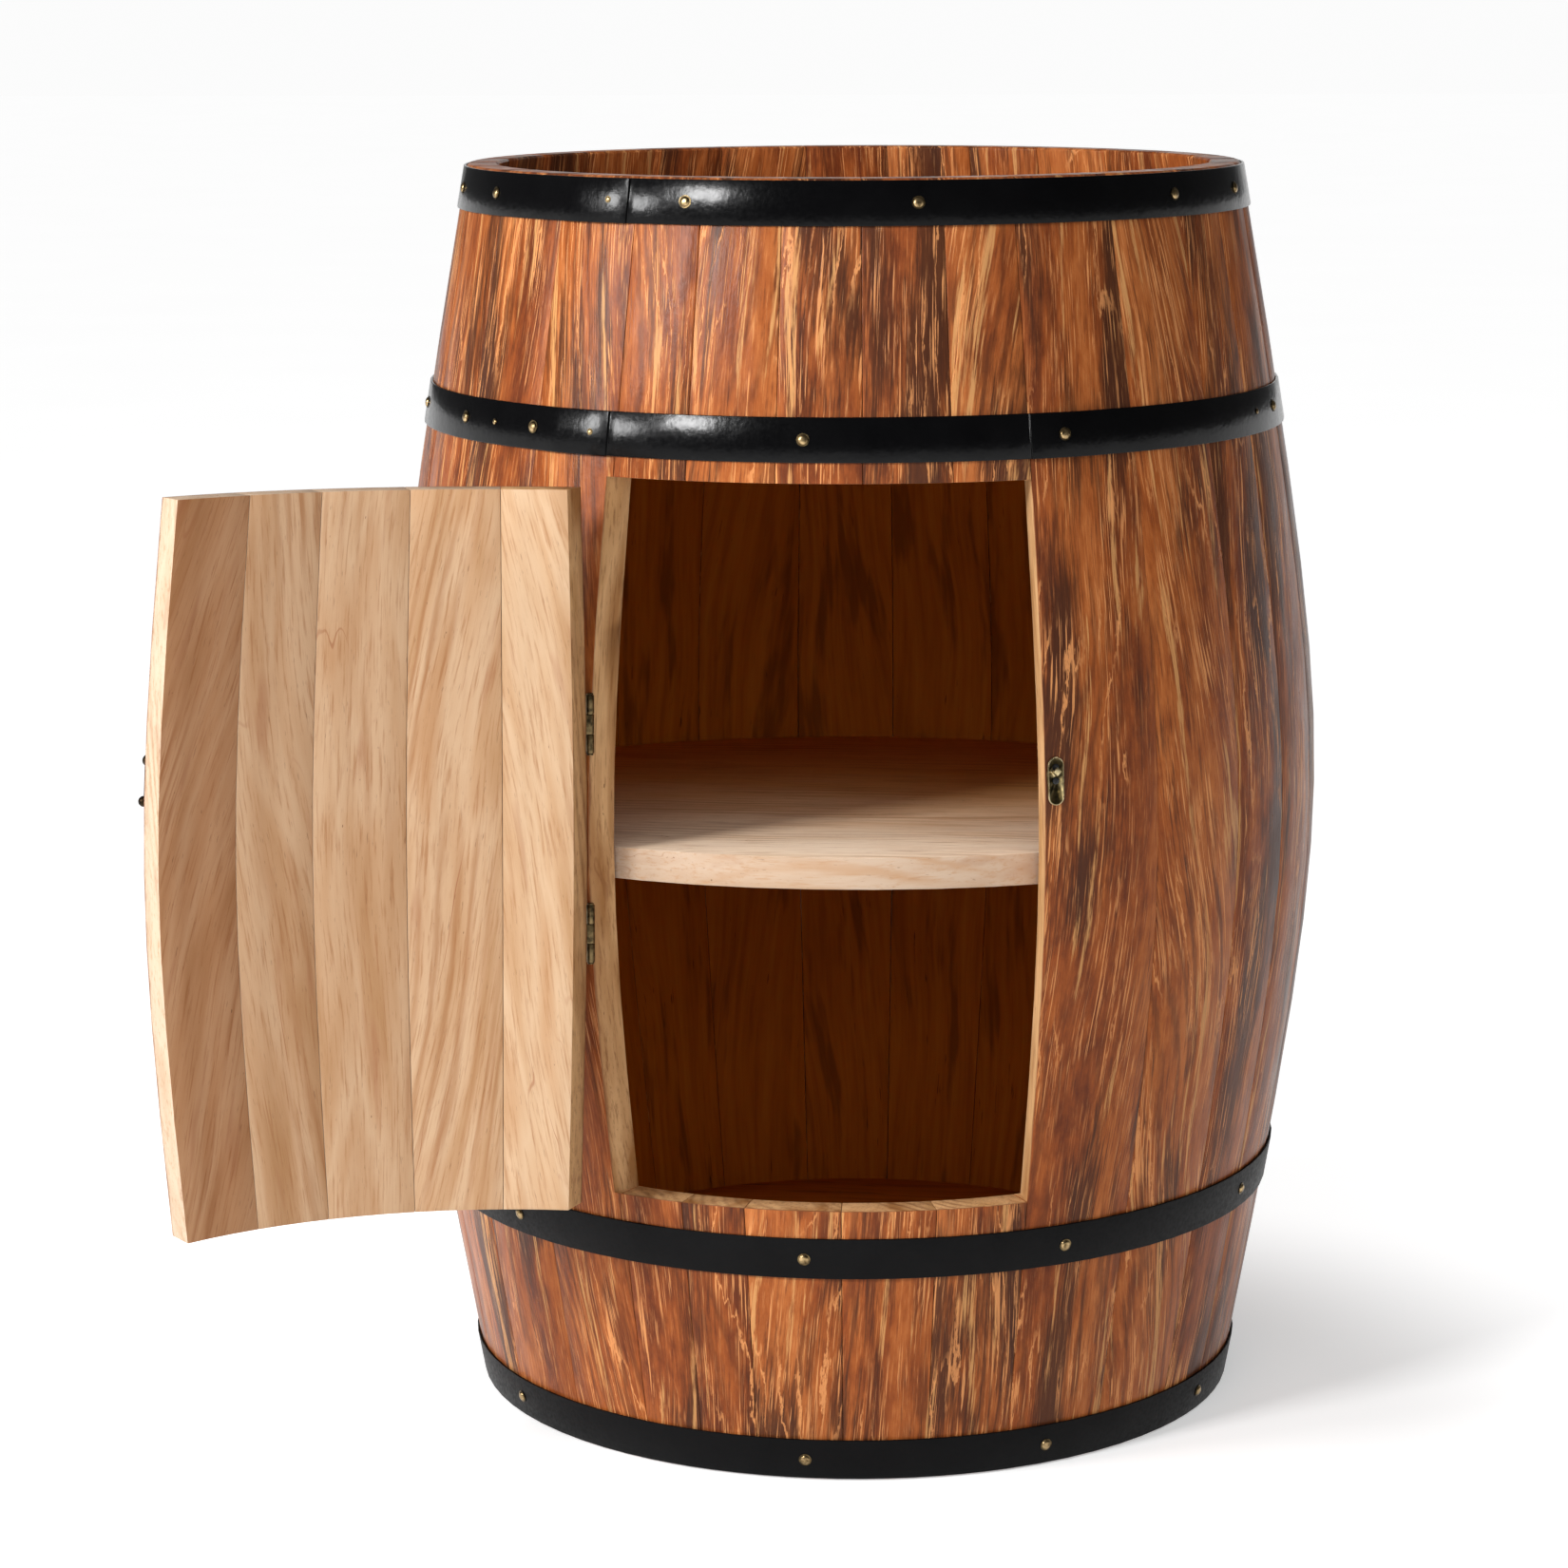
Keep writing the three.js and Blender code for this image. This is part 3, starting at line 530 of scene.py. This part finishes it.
# How squarely a face looks the way that is asked for, as the cosine of the angle between
SQUARE_ON = 0.9
MORE_OR_LESS = 0.5


def only(piece):
    bpy.ops.object.select_all(action="DESELECT")
    piece.select_set(True)
    bpy.context.view_layer.objects.active = piece


def eased_copy(name, width):
    piece = bpy.data.objects.new(name + "_piece", nodes[name].data.copy())
    bpy.context.collection.objects.link(piece)
    piece.data.materials.clear()
    only(piece)
    bpy.ops.object.mode_set(mode="EDIT")
    bpy.ops.mesh.select_all(action="SELECT")
    bpy.ops.mesh.remove_doubles(threshold=MERGE_DISTANCE)
    bpy.ops.mesh.tris_convert_to_quads(face_threshold=PAIRING_ANGLE, shape_threshold=PAIRING_SKEW)
    bpy.ops.object.mode_set(mode="OBJECT")
    bevel = piece.modifiers.new("eased_corners", "BEVEL")
    bevel.width = width
    bevel.segments = EASE_SEGMENTS
    bevel.limit_method = "ANGLE"
    bevel.angle_limit = EASED_ANGLE
    bevel.use_clamp_overlap = True
    bpy.ops.object.modifier_apply(modifier=bevel.name)
    bpy.ops.object.shade_smooth_by_angle(angle=SHARP_ANGLE)
    return piece


def settle(piece, name, body):
    """The piece takes the solid's place and moves with the body."""
    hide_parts(name)
    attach(piece, body)


def write_attribute(mesh, name, kind, values, key, domain="POINT"):
    mesh.attributes.new(name, kind, domain).data.foreach_set(key, values)


def shut_place(point):
    """Where a point of the open door lies when the door is shut."""
    return PIN + TO_SHUT @ (point - PIN)


def barrel_place(point):
    """Angle in radians from the doorway's middle, radius and height of a point."""
    flat = point - AXIS
    return math.atan2(flat.x, -flat.y), math.hypot(flat.x, flat.y), point.z


# How far the grain of a board may run across for each metre that it runs down
LEAN_LIMIT = 0.15
# Boards read the grain pattern from places up to this many metres apart
PATTERN_REACH = 8


def give_grain(piece, place, tone, seed, lean=None):
    """Writes across, along and into the board, the board's tone, and the depth under the wall's
    outer face. The lean is by chance where none is given."""
    chooser = random.Random(seed)
    offset = [chooser.uniform(0, PATTERN_REACH) for _ in range(3)]
    if lean is None:
        lean = chooser.uniform(-LEAN_LIMIT, LEAN_LIMIT)
    points = [place(v.co) for v in piece.data.vertices]
    middle = math.atan2(sum(math.sin(p[0]) for p in points), sum(math.cos(p[0]) for p in points))
    grain, depths = [], []
    for angle, radius, z in points:
        across = (angle - middle + math.pi) % (2 * math.pi) - math.pi
        depth = outer_radius(z) - radius
        grain += [across * BELLY_RADIUS + lean * z + offset[0], z + offset[1], depth + offset[2]]
        depths.append(depth)
    mesh = piece.data
    write_attribute(mesh, "grain", "FLOAT_VECTOR", grain, "vector")
    write_attribute(mesh, "depth", "FLOAT", depths, "value")
    write_attribute(mesh, "tone", "FLOAT", [tone] * len(points), "value")


def paint_faces(piece, materials, choose):
    """Gives the piece its materials, and each face the one whose number is chosen."""
    for material in materials:
        piece.data.materials.append(material)
    for face in piece.data.polygons:
        face.material_index = int(choose(face))


# The stain reaches this far inside the rims, and the sawn faces lie within the doorway's reach
STAINED_RIM = 42 * MM
DOORWAY_HALF_ANGLE = math.radians(31)
DOORWAY_LOW = 178 * MM
DOORWAY_HIGH = 628 * MM


def wall_face(face):
    """0 stained, 1 washed inside, 2 sawn."""
    angle, radius, z = barrel_place(face.center)
    facing = face.normal.dot(straight_out(angle))
    if facing < -MORE_OR_LESS:
        return int(STAINED_RIM <= z <= BARREL_HEIGHT - STAINED_RIM)
    in_doorway = abs(angle) < DOORWAY_HALF_ANGLE and DOORWAY_LOW < z < DOORWAY_HIGH
    return 2 if in_doorway and facing < MORE_OR_LESS else 0


# Darker boards have a tone above zero
STAVE_TONES = [
    0.1, -0.3, 0.5, 0.2, 0.9, 0.6, 0.2, 0.5, -0.2, 0.4, 0.1,
    0.6, 0.0, 0.3, -0.4, 0.5, 0.1, 0.7, 0.2, -0.1, 0.3, 0.2,
]
LINTEL_TONES = [0.0, -0.2, 0.3, 0.8, -0.5]
SILL_TONES = [0.1, 0.5, -0.3, 0.2, 0.0]


def dress_wall():
    rows = [("stave", STAVE_TONES), ("lintel", LINTEL_TONES), ("sill", SILL_TONES)]
    for row, tones in rows:
        for i, tone in enumerate(tones):
            name = f"{row}_{i + 1:02d}"
            piece = eased_copy(name, EASE_WALL)
            give_grain(piece, barrel_place, tone, name)
            paint_faces(piece, [STAINED, WASHED, SAWN], wall_face)
            settle(piece, name, "carcass")


# Boards of the door from its hinges to its free edge. Their tones rise towards the free edge as
# painted shade, where the door's inside turns away from the lamps.
DOOR_TONES = [0.0, 0.1, 0.15, 0.2, 0.6]
DOOR_LEANS = [-0.2, 0.18, 0.02, -0.12, 0.35]


def door_face(face):
    """0 stained outside, 1 planed inside, 2 sawn edges."""
    angle = barrel_place(shut_place(face.center))[0]
    facing = (TO_SHUT @ face.normal).dot(straight_out(angle))
    if facing > MORE_OR_LESS:
        return 0
    return 1 if facing < -MORE_OR_LESS else 2


def dress_door():
    for i, (tone, lean) in enumerate(zip(DOOR_TONES, DOOR_LEANS)):
        name = f"door_board_{i + 1:02d}"
        piece = eased_copy(name, EASE_DOOR)
        give_grain(piece, lambda point: barrel_place(shut_place(point)), tone, name, lean)
        # The hinge side's edge is the darker one
        edge = SAWN if i == 0 else SAWN_DOOR
        paint_faces(piece, [STAINED, DOOR_INSIDE, edge], door_face)
        settle(piece, name, "door")


# Joints between the planks of a head, in metres from the axis towards the back. The grooves
# along them take their share of the head's thickness.
PLANK_JOINTS = [-0.15, -0.05, 0.05, 0.15]
PLANK_TONE = 0.9
GROOVE_HALF_WIDTH = 1.1 * MM
GROOVE_SHARE = 0.08


def cut_planks(piece, joints):
    """Cuts a V-groove into both faces along each joint between planks."""
    middle = sum(v.co.z for v in piece.data.vertices) / len(piece.data.vertices)
    only(piece)
    bpy.ops.object.mode_set(mode="EDIT")
    for joint in joints:
        for side in (-GROOVE_HALF_WIDTH, GROOVE_HALF_WIDTH, 0):
            bpy.ops.mesh.select_all(action="SELECT")
            bpy.ops.mesh.bisect(plane_co=(AXIS.x, AXIS.y + joint + side, 0), plane_no=(0, 1, 0))
        bpy.ops.transform.resize(value=(1, 1, 1 - GROOVE_SHARE),
                                 center_override=(AXIS.x, AXIS.y, middle))
    bpy.ops.object.mode_set(mode="OBJECT")


def flat_grain(piece, seed, joints):
    """Grain that runs left to right in a flat piece, with its own offset and tone in each plank.
    The depth is measured from the axis."""
    chooser = random.Random(seed)
    planks = []
    for _ in range(len(joints) + 1):
        offset = Vector([chooser.uniform(0, PATTERN_REACH) for _ in range(3)])
        planks.append((offset, chooser.uniform(0, PLANK_TONE)))
    mesh = piece.data
    grain, depths, tones = [], [], []
    for face in mesh.polygons:
        middle = face.center.y - AXIS.y
        offset, tone = planks[sum(middle > joint for joint in joints)]
        for vertex in face.vertices:
            place = mesh.vertices[vertex].co - AXIS
            grain.extend(Vector((place.y, place.x, place.z)) + offset)
            depths.append(place.y)
            tones.append(tone if joints else 0.0)
    write_attribute(mesh, "grain", "FLOAT_VECTOR", grain, "vector", "CORNER")
    write_attribute(mesh, "depth", "FLOAT", depths, "value", "CORNER")
    write_attribute(mesh, "tone", "FLOAT", tones, "value", "CORNER")


def dress_flat_pieces():
    parts = {
        "head_top": (STAINED, STAINED, PLANK_JOINTS),
        "head_bottom": (WASHED, WASHED, PLANK_JOINTS),
        "shelf": (SHELF_PINE, SHELF_EDGE, []),
    }
    parts.update({f"shelf_cleat_{i}": (SHELF_EDGE, SHELF_EDGE, []) for i in range(1, 5)})
    for name, (flat, edge, joints) in parts.items():
        piece = eased_copy(name, EASE_FLAT)
        cut_planks(piece, joints)
        flat_grain(piece, name, joints)
        paint_faces(piece, [flat, edge], lambda face: abs(face.normal.z) < MORE_OR_LESS)
        settle(piece, name, "carcass")


def dress_hoops():
    for name in ("hoop_top", "hoop_upper", "hoop_lower", "hoop_bottom"):
        piece = eased_copy(name, EASE_HOOP)
        steel = GLOSS_STEEL if name in ("hoop_top", "hoop_upper") else SATIN_STEEL
        paint_faces(piece, [steel], lambda face: 0)
        settle(piece, name, "carcass")


# The keeper's place in degrees, how far the face of its plate stands off the wall, its border's
# width, and how near to that face its other faces may lie and still count as part of it
KEEPER_ANGLE = 28.3
KEEPER_FACE = 1.3 * MM
KEEPER_BORDER = 0.8 * MM
KEEPER_PLAY = 0.5 * MM


def keeper_plate(face):
    """True on the flat face of the keeper's plate, not on its rim or its hook."""
    angle, radius, z = barrel_place(face.center)
    off_wall = radius - outer_radius(z)
    square = face.normal.dot(straight_out(angle)) > SQUARE_ON
    return square and abs(off_wall - KEEPER_FACE) < KEEPER_PLAY


def choose_faces(piece, choose):
    """Selects the faces that choose says yes to, and leaves the piece in edit mode."""
    only(piece)
    bpy.ops.object.mode_set(mode="EDIT")
    bpy.ops.mesh.select_mode(type="FACE")
    bpy.ops.mesh.select_all(action="DESELECT")
    bpy.ops.object.mode_set(mode="OBJECT")
    for face in piece.data.polygons:
        face.select = choose(face)
    bpy.ops.object.mode_set(mode="EDIT")


def dress_keeper():
    """The plate's border and the hook are rubbed bright, and its field is dark."""
    piece = eased_copy("latch_keeper", EASE_METAL)
    choose_faces(piece, keeper_plate)
    bpy.ops.mesh.inset(thickness=KEEPER_BORDER)
    bpy.ops.object.mode_set(mode="OBJECT")
    paint_faces(piece, [KEEPER_BRASS, RUBBED_BRASS], lambda face: not face.select)
    settle(piece, "latch_keeper", "carcass")


def dress_metalwork():
    parts = {
        "hinge_upper_wall_leaf": "carcass", "hinge_upper_pin": "carcass",
        "hinge_lower_wall_leaf": "carcass", "hinge_lower_pin": "carcass",
        "hinge_upper_door_leaf": "door", "hinge_lower_door_leaf": "door",
        "latch_pivot": "door", "latch_arm": "latch_arm",
    }
    for name, body in parts.items():
        piece = eased_copy(name, EASE_METAL)
        brass = BLACKENED_BRASS if name.startswith("latch") else DARK_BRASS
        paint_faces(piece, [brass], lambda face: 0)
        settle(piece, name, body)
    dress_keeper()


# Nails: a domed head on a thin flange, driven through the hoop. Each ring of the dome takes a
# share of the radius and a share of the height above the flange.
NAIL_RADIUS = 3.9 * MM
NAIL_HEIGHT = 1.7 * MM
NAIL_FLANGE = 0.35 * MM
NAIL_SIDES = 20
NAIL_SHARP_ANGLE = math.radians(50)
FLANGE_WIDTH_SHARE = 0.2
DOME_EDGE_SHARE = 0.78
DOME_SHARES = [(0.06, 0.42), (0.17, 0.30), (0.17, 0.18), (0.17, 0.07)]
# How far the hoops' outer faces stand off the wall, and the heights of their middles
HOOP_FACE = 1.8 * MM
HOOP_MIDDLES = {
    "hoop_top": 785.8 * MM, "hoop_upper": 649.4 * MM,
    "hoop_lower": 150.6 * MM, "hoop_bottom": 14.2 * MM,
}
# Places of the nails round the barrel, in degrees
NAIL_ANGLES = {
    "hoop_top": [-55.8, -18.3, 13.6, 55.4, 75.2, 108, 144, 180, 216, 252, 287],
    "hoop_upper": [-55.5, -39.7, -1.3, 31.7, 78.2, 110, 145, 180, 215, 250, 284],
    "hoop_lower": [-45.1, -1.5, 32.9, 69.1, 105, 141, 177, 198, 233, 271],
    "hoop_bottom": [-53.7, -2.1, 33.2, 66.9, 103, 140, 176, 200, 236, 271],
}
SMALL_NAIL_ANGLES = {"hoop_top": [-30.3], "hoop_upper": [-47.8, -29.7, 70.3]}
SMALL_NAIL_SHARE = 0.5
# The laps of the hoops, in degrees, where the band is double
LAPS = {"hoop_top": [(-37, -27)], "hoop_upper": [(-36, -27), (27, 36)]}
BAND_THICKNESS = 1.5 * MM


def nail_model():
    """A domed head in bright brass on a flange that has stayed dark."""
    bpy.ops.object.select_all(action="DESELECT")
    bpy.ops.mesh.primitive_circle_add(vertices=NAIL_SIDES, radius=NAIL_RADIUS, fill_type="NGON")
    nail = bpy.context.object
    bpy.ops.object.mode_set(mode="EDIT")
    bpy.ops.mesh.select_all(action="SELECT")
    bpy.ops.mesh.extrude_region_move(TRANSFORM_OT_translate={"value": (0, 0, NAIL_FLANGE)})
    bpy.ops.mesh.inset(thickness=NAIL_RADIUS * FLANGE_WIDTH_SHARE)
    for width_share, height_share in DOME_SHARES:
        bpy.ops.mesh.inset(thickness=NAIL_RADIUS * width_share)
        rise = (NAIL_HEIGHT - NAIL_FLANGE) * height_share
        bpy.ops.transform.translate(value=(0, 0, rise))
    bpy.ops.mesh.select_all(action="SELECT")
    bpy.ops.mesh.normals_make_consistent(inside=False)
    bpy.ops.object.mode_set(mode="OBJECT")
    bpy.ops.object.shade_smooth_by_angle(angle=NAIL_SHARP_ANGLE)
    dome_edge = NAIL_RADIUS * DOME_EDGE_SHARE
    paint_faces(nail, [NAIL_BRASS, DARK_BRASS], lambda face: face.center.xy.length > dome_edge)
    return nail


def placed_copies(model, name, matrices):
    """One piece made of a copy of the model at each place."""
    copies = []
    for matrix in matrices:
        copy = bpy.data.objects.new(name, model.data.copy())
        bpy.context.collection.objects.link(copy)
        copy.data.transform(matrix)
        copies.append(copy)
    bpy.ops.object.select_all(action="DESELECT")
    for copy in copies:
        copy.select_set(True)
    bpy.context.view_layer.objects.active = copies[0]
    bpy.ops.object.join()
    piece = bpy.context.object
    piece.name = name
    return piece


def hoop_place(hoop, angle):
    """A matrix on the hoop's outer face, which stands further off where the band is double."""
    lapped = any(low < angle < high for low, high in LAPS.get(hoop, []))
    lift = HOOP_FACE + (BAND_THICKNESS if lapped else 0)
    return on_barrel(angle, HOOP_MIDDLES[hoop], lift)


def drive_nails():
    nail = nail_model()
    for hoop, angles in NAIL_ANGLES.items():
        matrices = [hoop_place(hoop, angle) for angle in angles]
        for angle in SMALL_NAIL_ANGLES.get(hoop, []):
            matrices.append(hoop_place(hoop, angle) @ Matrix.Scale(SMALL_NAIL_SHARE, 4))
        piece = placed_copies(nail, f"nails_{hoop}", matrices)
        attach(piece, "carcass")
    bpy.data.objects.remove(nail)


# Screws of the keeper and the hinges: a low head with a bevelled rim and a slot. The head is
# low enough for the latch's arm to pass over.
SCREW_RADIUS = 2.1 * MM
SCREW_SIDES = 20
SCREW_SHARP_ANGLE = math.radians(30)
RIM_WIDTH_SHARE = 0.25
RIM_RISE_SHARE = 0.3
# Faces with their middles above this share of the head's height are its flat top
FLAT_TOP_SHARE = 1.2
SCREW_HEIGHT = 0.35 * MM
SLOT_DEPTH = 0.25 * MM
SLOT_HALF_WIDTH = 0.35 * MM
KEEPER_SCREW_HEIGHTS = [454.6 * MM, 446.6 * MM]
# How far the slots are turned from upright, in degrees
KEEPER_SCREW_TURNS = [35, -20]


def screw_model(metal):
    bpy.ops.object.select_all(action="DESELECT")
    bpy.ops.mesh.primitive_circle_add(vertices=SCREW_SIDES, radius=SCREW_RADIUS, fill_type="NGON")
    screw = bpy.context.object
    bpy.ops.object.mode_set(mode="EDIT")
    bpy.ops.mesh.select_all(action="SELECT")
    bpy.ops.mesh.extrude_region_move(TRANSFORM_OT_translate={"value": (0, 0, SCREW_HEIGHT)})
    bpy.ops.mesh.inset(thickness=SCREW_RADIUS * RIM_WIDTH_SHARE)
    bpy.ops.transform.translate(value=(0, 0, SCREW_HEIGHT * RIM_RISE_SHARE))
    for side in (-SLOT_HALF_WIDTH, SLOT_HALF_WIDTH):
        bpy.ops.mesh.select_all(action="SELECT")
        bpy.ops.mesh.bisect(plane_co=(side, 0, 0), plane_no=(1, 0, 0))
    bpy.ops.mesh.select_all(action="SELECT")
    bpy.ops.mesh.normals_make_consistent(inside=False)
    bpy.ops.object.mode_set(mode="OBJECT")
    choose_faces(screw, lambda face: abs(face.center.x) < SLOT_HALF_WIDTH
                 and face.center.z > SCREW_HEIGHT * FLAT_TOP_SHARE
                 and face.normal.z > SQUARE_ON)
    bpy.ops.mesh.extrude_region_move(TRANSFORM_OT_translate={"value": (0, 0, -SLOT_DEPTH)})
    bpy.ops.mesh.select_mode(type="VERT")
    bpy.ops.object.mode_set(mode="OBJECT")
    bpy.ops.object.shade_smooth_by_angle(angle=SCREW_SHARP_ANGLE)
    screw.data.materials.append(metal)
    return screw


# Screws of a hinge leaf, up and down from its middle. Faces of the leaf that are this close to
# one plane belong to its outer face.
LEAF_SCREW_RISES = [-10.5 * MM, 10.5 * MM]
LEAF_SCREW_TURNS = [15, 70]
SAME_PLANE = 0.02 * MM


def leaf_place(name, on_door):
    """A matrix at the middle of a hinge leaf's outer face: local y up, z outwards."""
    def facing(face):
        point = shut_place(face.center) if on_door else face.center
        normal = TO_SHUT @ face.normal if on_door else face.normal
        return normal.dot(straight_out(barrel_place(point)[0]))

    outer = [face for face in nodes[name].data.polygons if facing(face) > SQUARE_ON]
    largest = max(outer, key=lambda face: face.area)
    out = largest.normal.copy()
    plate = [face for face in outer
             if abs((face.center - largest.center).dot(out)) < SAME_PLANE]
    area = sum(face.area for face in plate)
    middle = sum((face.center * face.area for face in plate), Vector()) / area
    up = (Vector((0, 0, 1)) - out * out.z).normalized()
    matrix = Matrix((up.cross(out), up, out)).transposed().to_4x4()
    matrix.translation = middle
    return matrix


def drive_screws():
    def turned(matrix, turn):
        return matrix @ Matrix.Rotation(math.radians(turn), 4, "Z")

    places = [turned(on_barrel(KEEPER_ANGLE, z, KEEPER_FACE), turn)
              for z, turn in zip(KEEPER_SCREW_HEIGHTS, KEEPER_SCREW_TURNS)]
    rows = [("screws_keeper", SCREW_STEEL, "black_steel", "carcass", places)]
    for leaf, body in (("wall_leaf", "carcass"), ("door_leaf", "door")):
        places = [
            turned(leaf_place(f"{hinge}_{leaf}", body == "door")
                   @ Matrix.Translation((0, rise, 0)), turn)
            for hinge in ("hinge_upper", "hinge_lower")
            for rise, turn in zip(LEAF_SCREW_RISES, LEAF_SCREW_TURNS)
        ]
        rows.append((f"screws_{leaf}", NAIL_BRASS, "dark_brass", body, places))
    for name, metal, slot, body, places in rows:
        screw = screw_model(metal)
        piece = placed_copies(screw, name, places)
        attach(piece, body)
        bpy.data.objects.remove(screw)


dress_wall()
dress_door()
dress_flat_pieces()
dress_hoops()
dress_metalwork()
drive_nails()
drive_screws()


# Studio: a white floor and surround, two softboxes on the left and a large one in front.
# Lengths are in metres, and in millimetres where a name ends in MM.
FLOOR_SIZE = 60
FLOOR_CLOUD_MM = 500
# The floor's own glow grows with the distance from a point beside the barrel's axis, so that the
# floor round the barrel's foot is darker: painted shade, centred where the shadow falls
SHADE_CENTRE = (0.06, -0.12, 0)
GLOW_START = 0.28
GLOW_END = 0.55
NEAR_GLOW = 0.34
FAR_GLOW = 0.69
# The mirrored backdrop's reach, as the share of a direction that points away from the doorway
BACKDROP_EDGE_SHARE = 0.91
BACKDROP_FULL_SHARE = 0.995
# The surround's strength as backdrop, as the rest of the room in a mirror, and as light
BACKDROP_WHITE = 0.97
MIRRORED_ROOM = 0.07
AMBIENT = 0.32


def seen_directly(tree):
    """One for rays that show the surroundings: to the camera, in a mirror or through glass."""
    path = add(tree, "LightPath").outputs
    seen = add(tree, "Math", (path["Is Camera Ray"], path["Is Glossy Ray"]), operation="MAXIMUM")
    return add(tree, "Math", (seen, path["Is Transmission Ray"]), operation="MAXIMUM")


def make_floor():
    bpy.ops.object.select_all(action="DESELECT")
    bpy.ops.mesh.primitive_plane_add(size=FLOOR_SIZE, location=(AXIS.x, AXIS.y, 0))
    floor = bpy.context.object
    floor.name = "studio_floor"
    material, tree, shader = new_material("white_studio_floor")
    clouds = spots(tree, FLOOR_CLOUD_MM, detail=2)
    place = add(tree, "TexCoord").outputs["Object"]
    # Painted shade: the floor glows less near the barrel
    away = add(tree, "VectorMath", (place, SHADE_CENTRE), operation="DISTANCE").outputs["Value"]
    glow = add(tree, "MapRange", (away, GLOW_START, GLOW_END, NEAR_GLOW, FAR_GLOW),
               interpolation_type="SMOOTHSTEP")
    glow = add(tree, "Math", (seen_directly(tree), glow), operation="MULTIPLY")
    feed(tree, shader, {
        "Base Color": add(tree, "ValToRGB", (clouds,), ramp=[(0.3, "#F2F2F2"), (0.7, "#F5F5F5")]),
        "Roughness": 0.9,
        "Specular IOR Level": 0.0,
        "Emission Color": (1, 1, 1, 1),
        "Emission Strength": glow,
    })
    floor.data.materials.append(material)


def light_world():
    """The camera sees white all round. Mirrors see the white backdrop behind the object, and a
    dim room elsewhere."""
    world = bpy.data.worlds.new("white_surround")
    bpy.context.scene.world = world
    world.use_nodes = True
    tree = world.node_tree
    path = add(tree, "LightPath").outputs
    direction = add(tree, "TexCoord").outputs["Generated"]
    behind = add(tree, "SeparateXYZ", (direction,)).outputs["Y"]
    backdrop = add(tree, "MapRange", (
        behind, BACKDROP_EDGE_SHARE, BACKDROP_FULL_SHARE, MIRRORED_ROOM, BACKDROP_WHITE,
    ), interpolation_type="SMOOTHSTEP")
    mirrored = add(tree, "Math", (path["Is Glossy Ray"], path["Is Transmission Ray"]),
                   operation="MAXIMUM")
    strength = add(tree, "MapRange", (mirrored, 0.0, 1.0, AMBIENT, backdrop))
    strength = add(tree, "MapRange", (path["Is Camera Ray"], 0.0, 1.0, strength, BACKDROP_WHITE))
    feed(tree, tree.nodes["Background"], {"Color": (1, 1, 1, 1), "Strength": strength})


def softbox(name, azimuth, elevation, distance, width, height, power, target, mirrored=True):
    """An area lamp aimed at a height on the axis. Lengths are in metres, angles in degrees and
    power in watts. Azimuth is measured from the camera's side, growing to the right. A lamp that
    isn't mirrored leaves no highlight."""
    data = bpy.data.lights.new(name, "AREA")
    data.shape = "RECTANGLE"
    data.size = width
    data.size_y = height
    data.energy = power
    lamp = bpy.data.objects.new(name, data)
    lamp.visible_glossy = mirrored
    bpy.context.collection.objects.link(lamp)
    turn = math.radians(azimuth) + CAMERA_SIDE
    rise = math.radians(elevation)
    away = straight_out(turn) * math.cos(rise) + Vector((0, 0, math.sin(rise)))
    aim = AXIS + Vector((0, 0, target))
    lamp.location = aim + away * distance
    lamp.rotation_euler = away.to_track_quat("Z", "Y").to_euler()


make_floor()
light_world()
softbox("key_softbox", azimuth=-64, elevation=16.5, distance=2.6, width=0.6, height=0.5,
        power=30, target=0.50)
softbox("high_softbox", azimuth=-43, elevation=26, distance=2.8, width=0.5, height=0.5,
        power=48, target=0.45)
softbox("front_softbox", azimuth=6, elevation=21, distance=3.6, width=4.4, height=2.8,
        power=45, target=0.45, mirrored=False)
bpy.context.scene.view_settings.view_transform = "Standard"
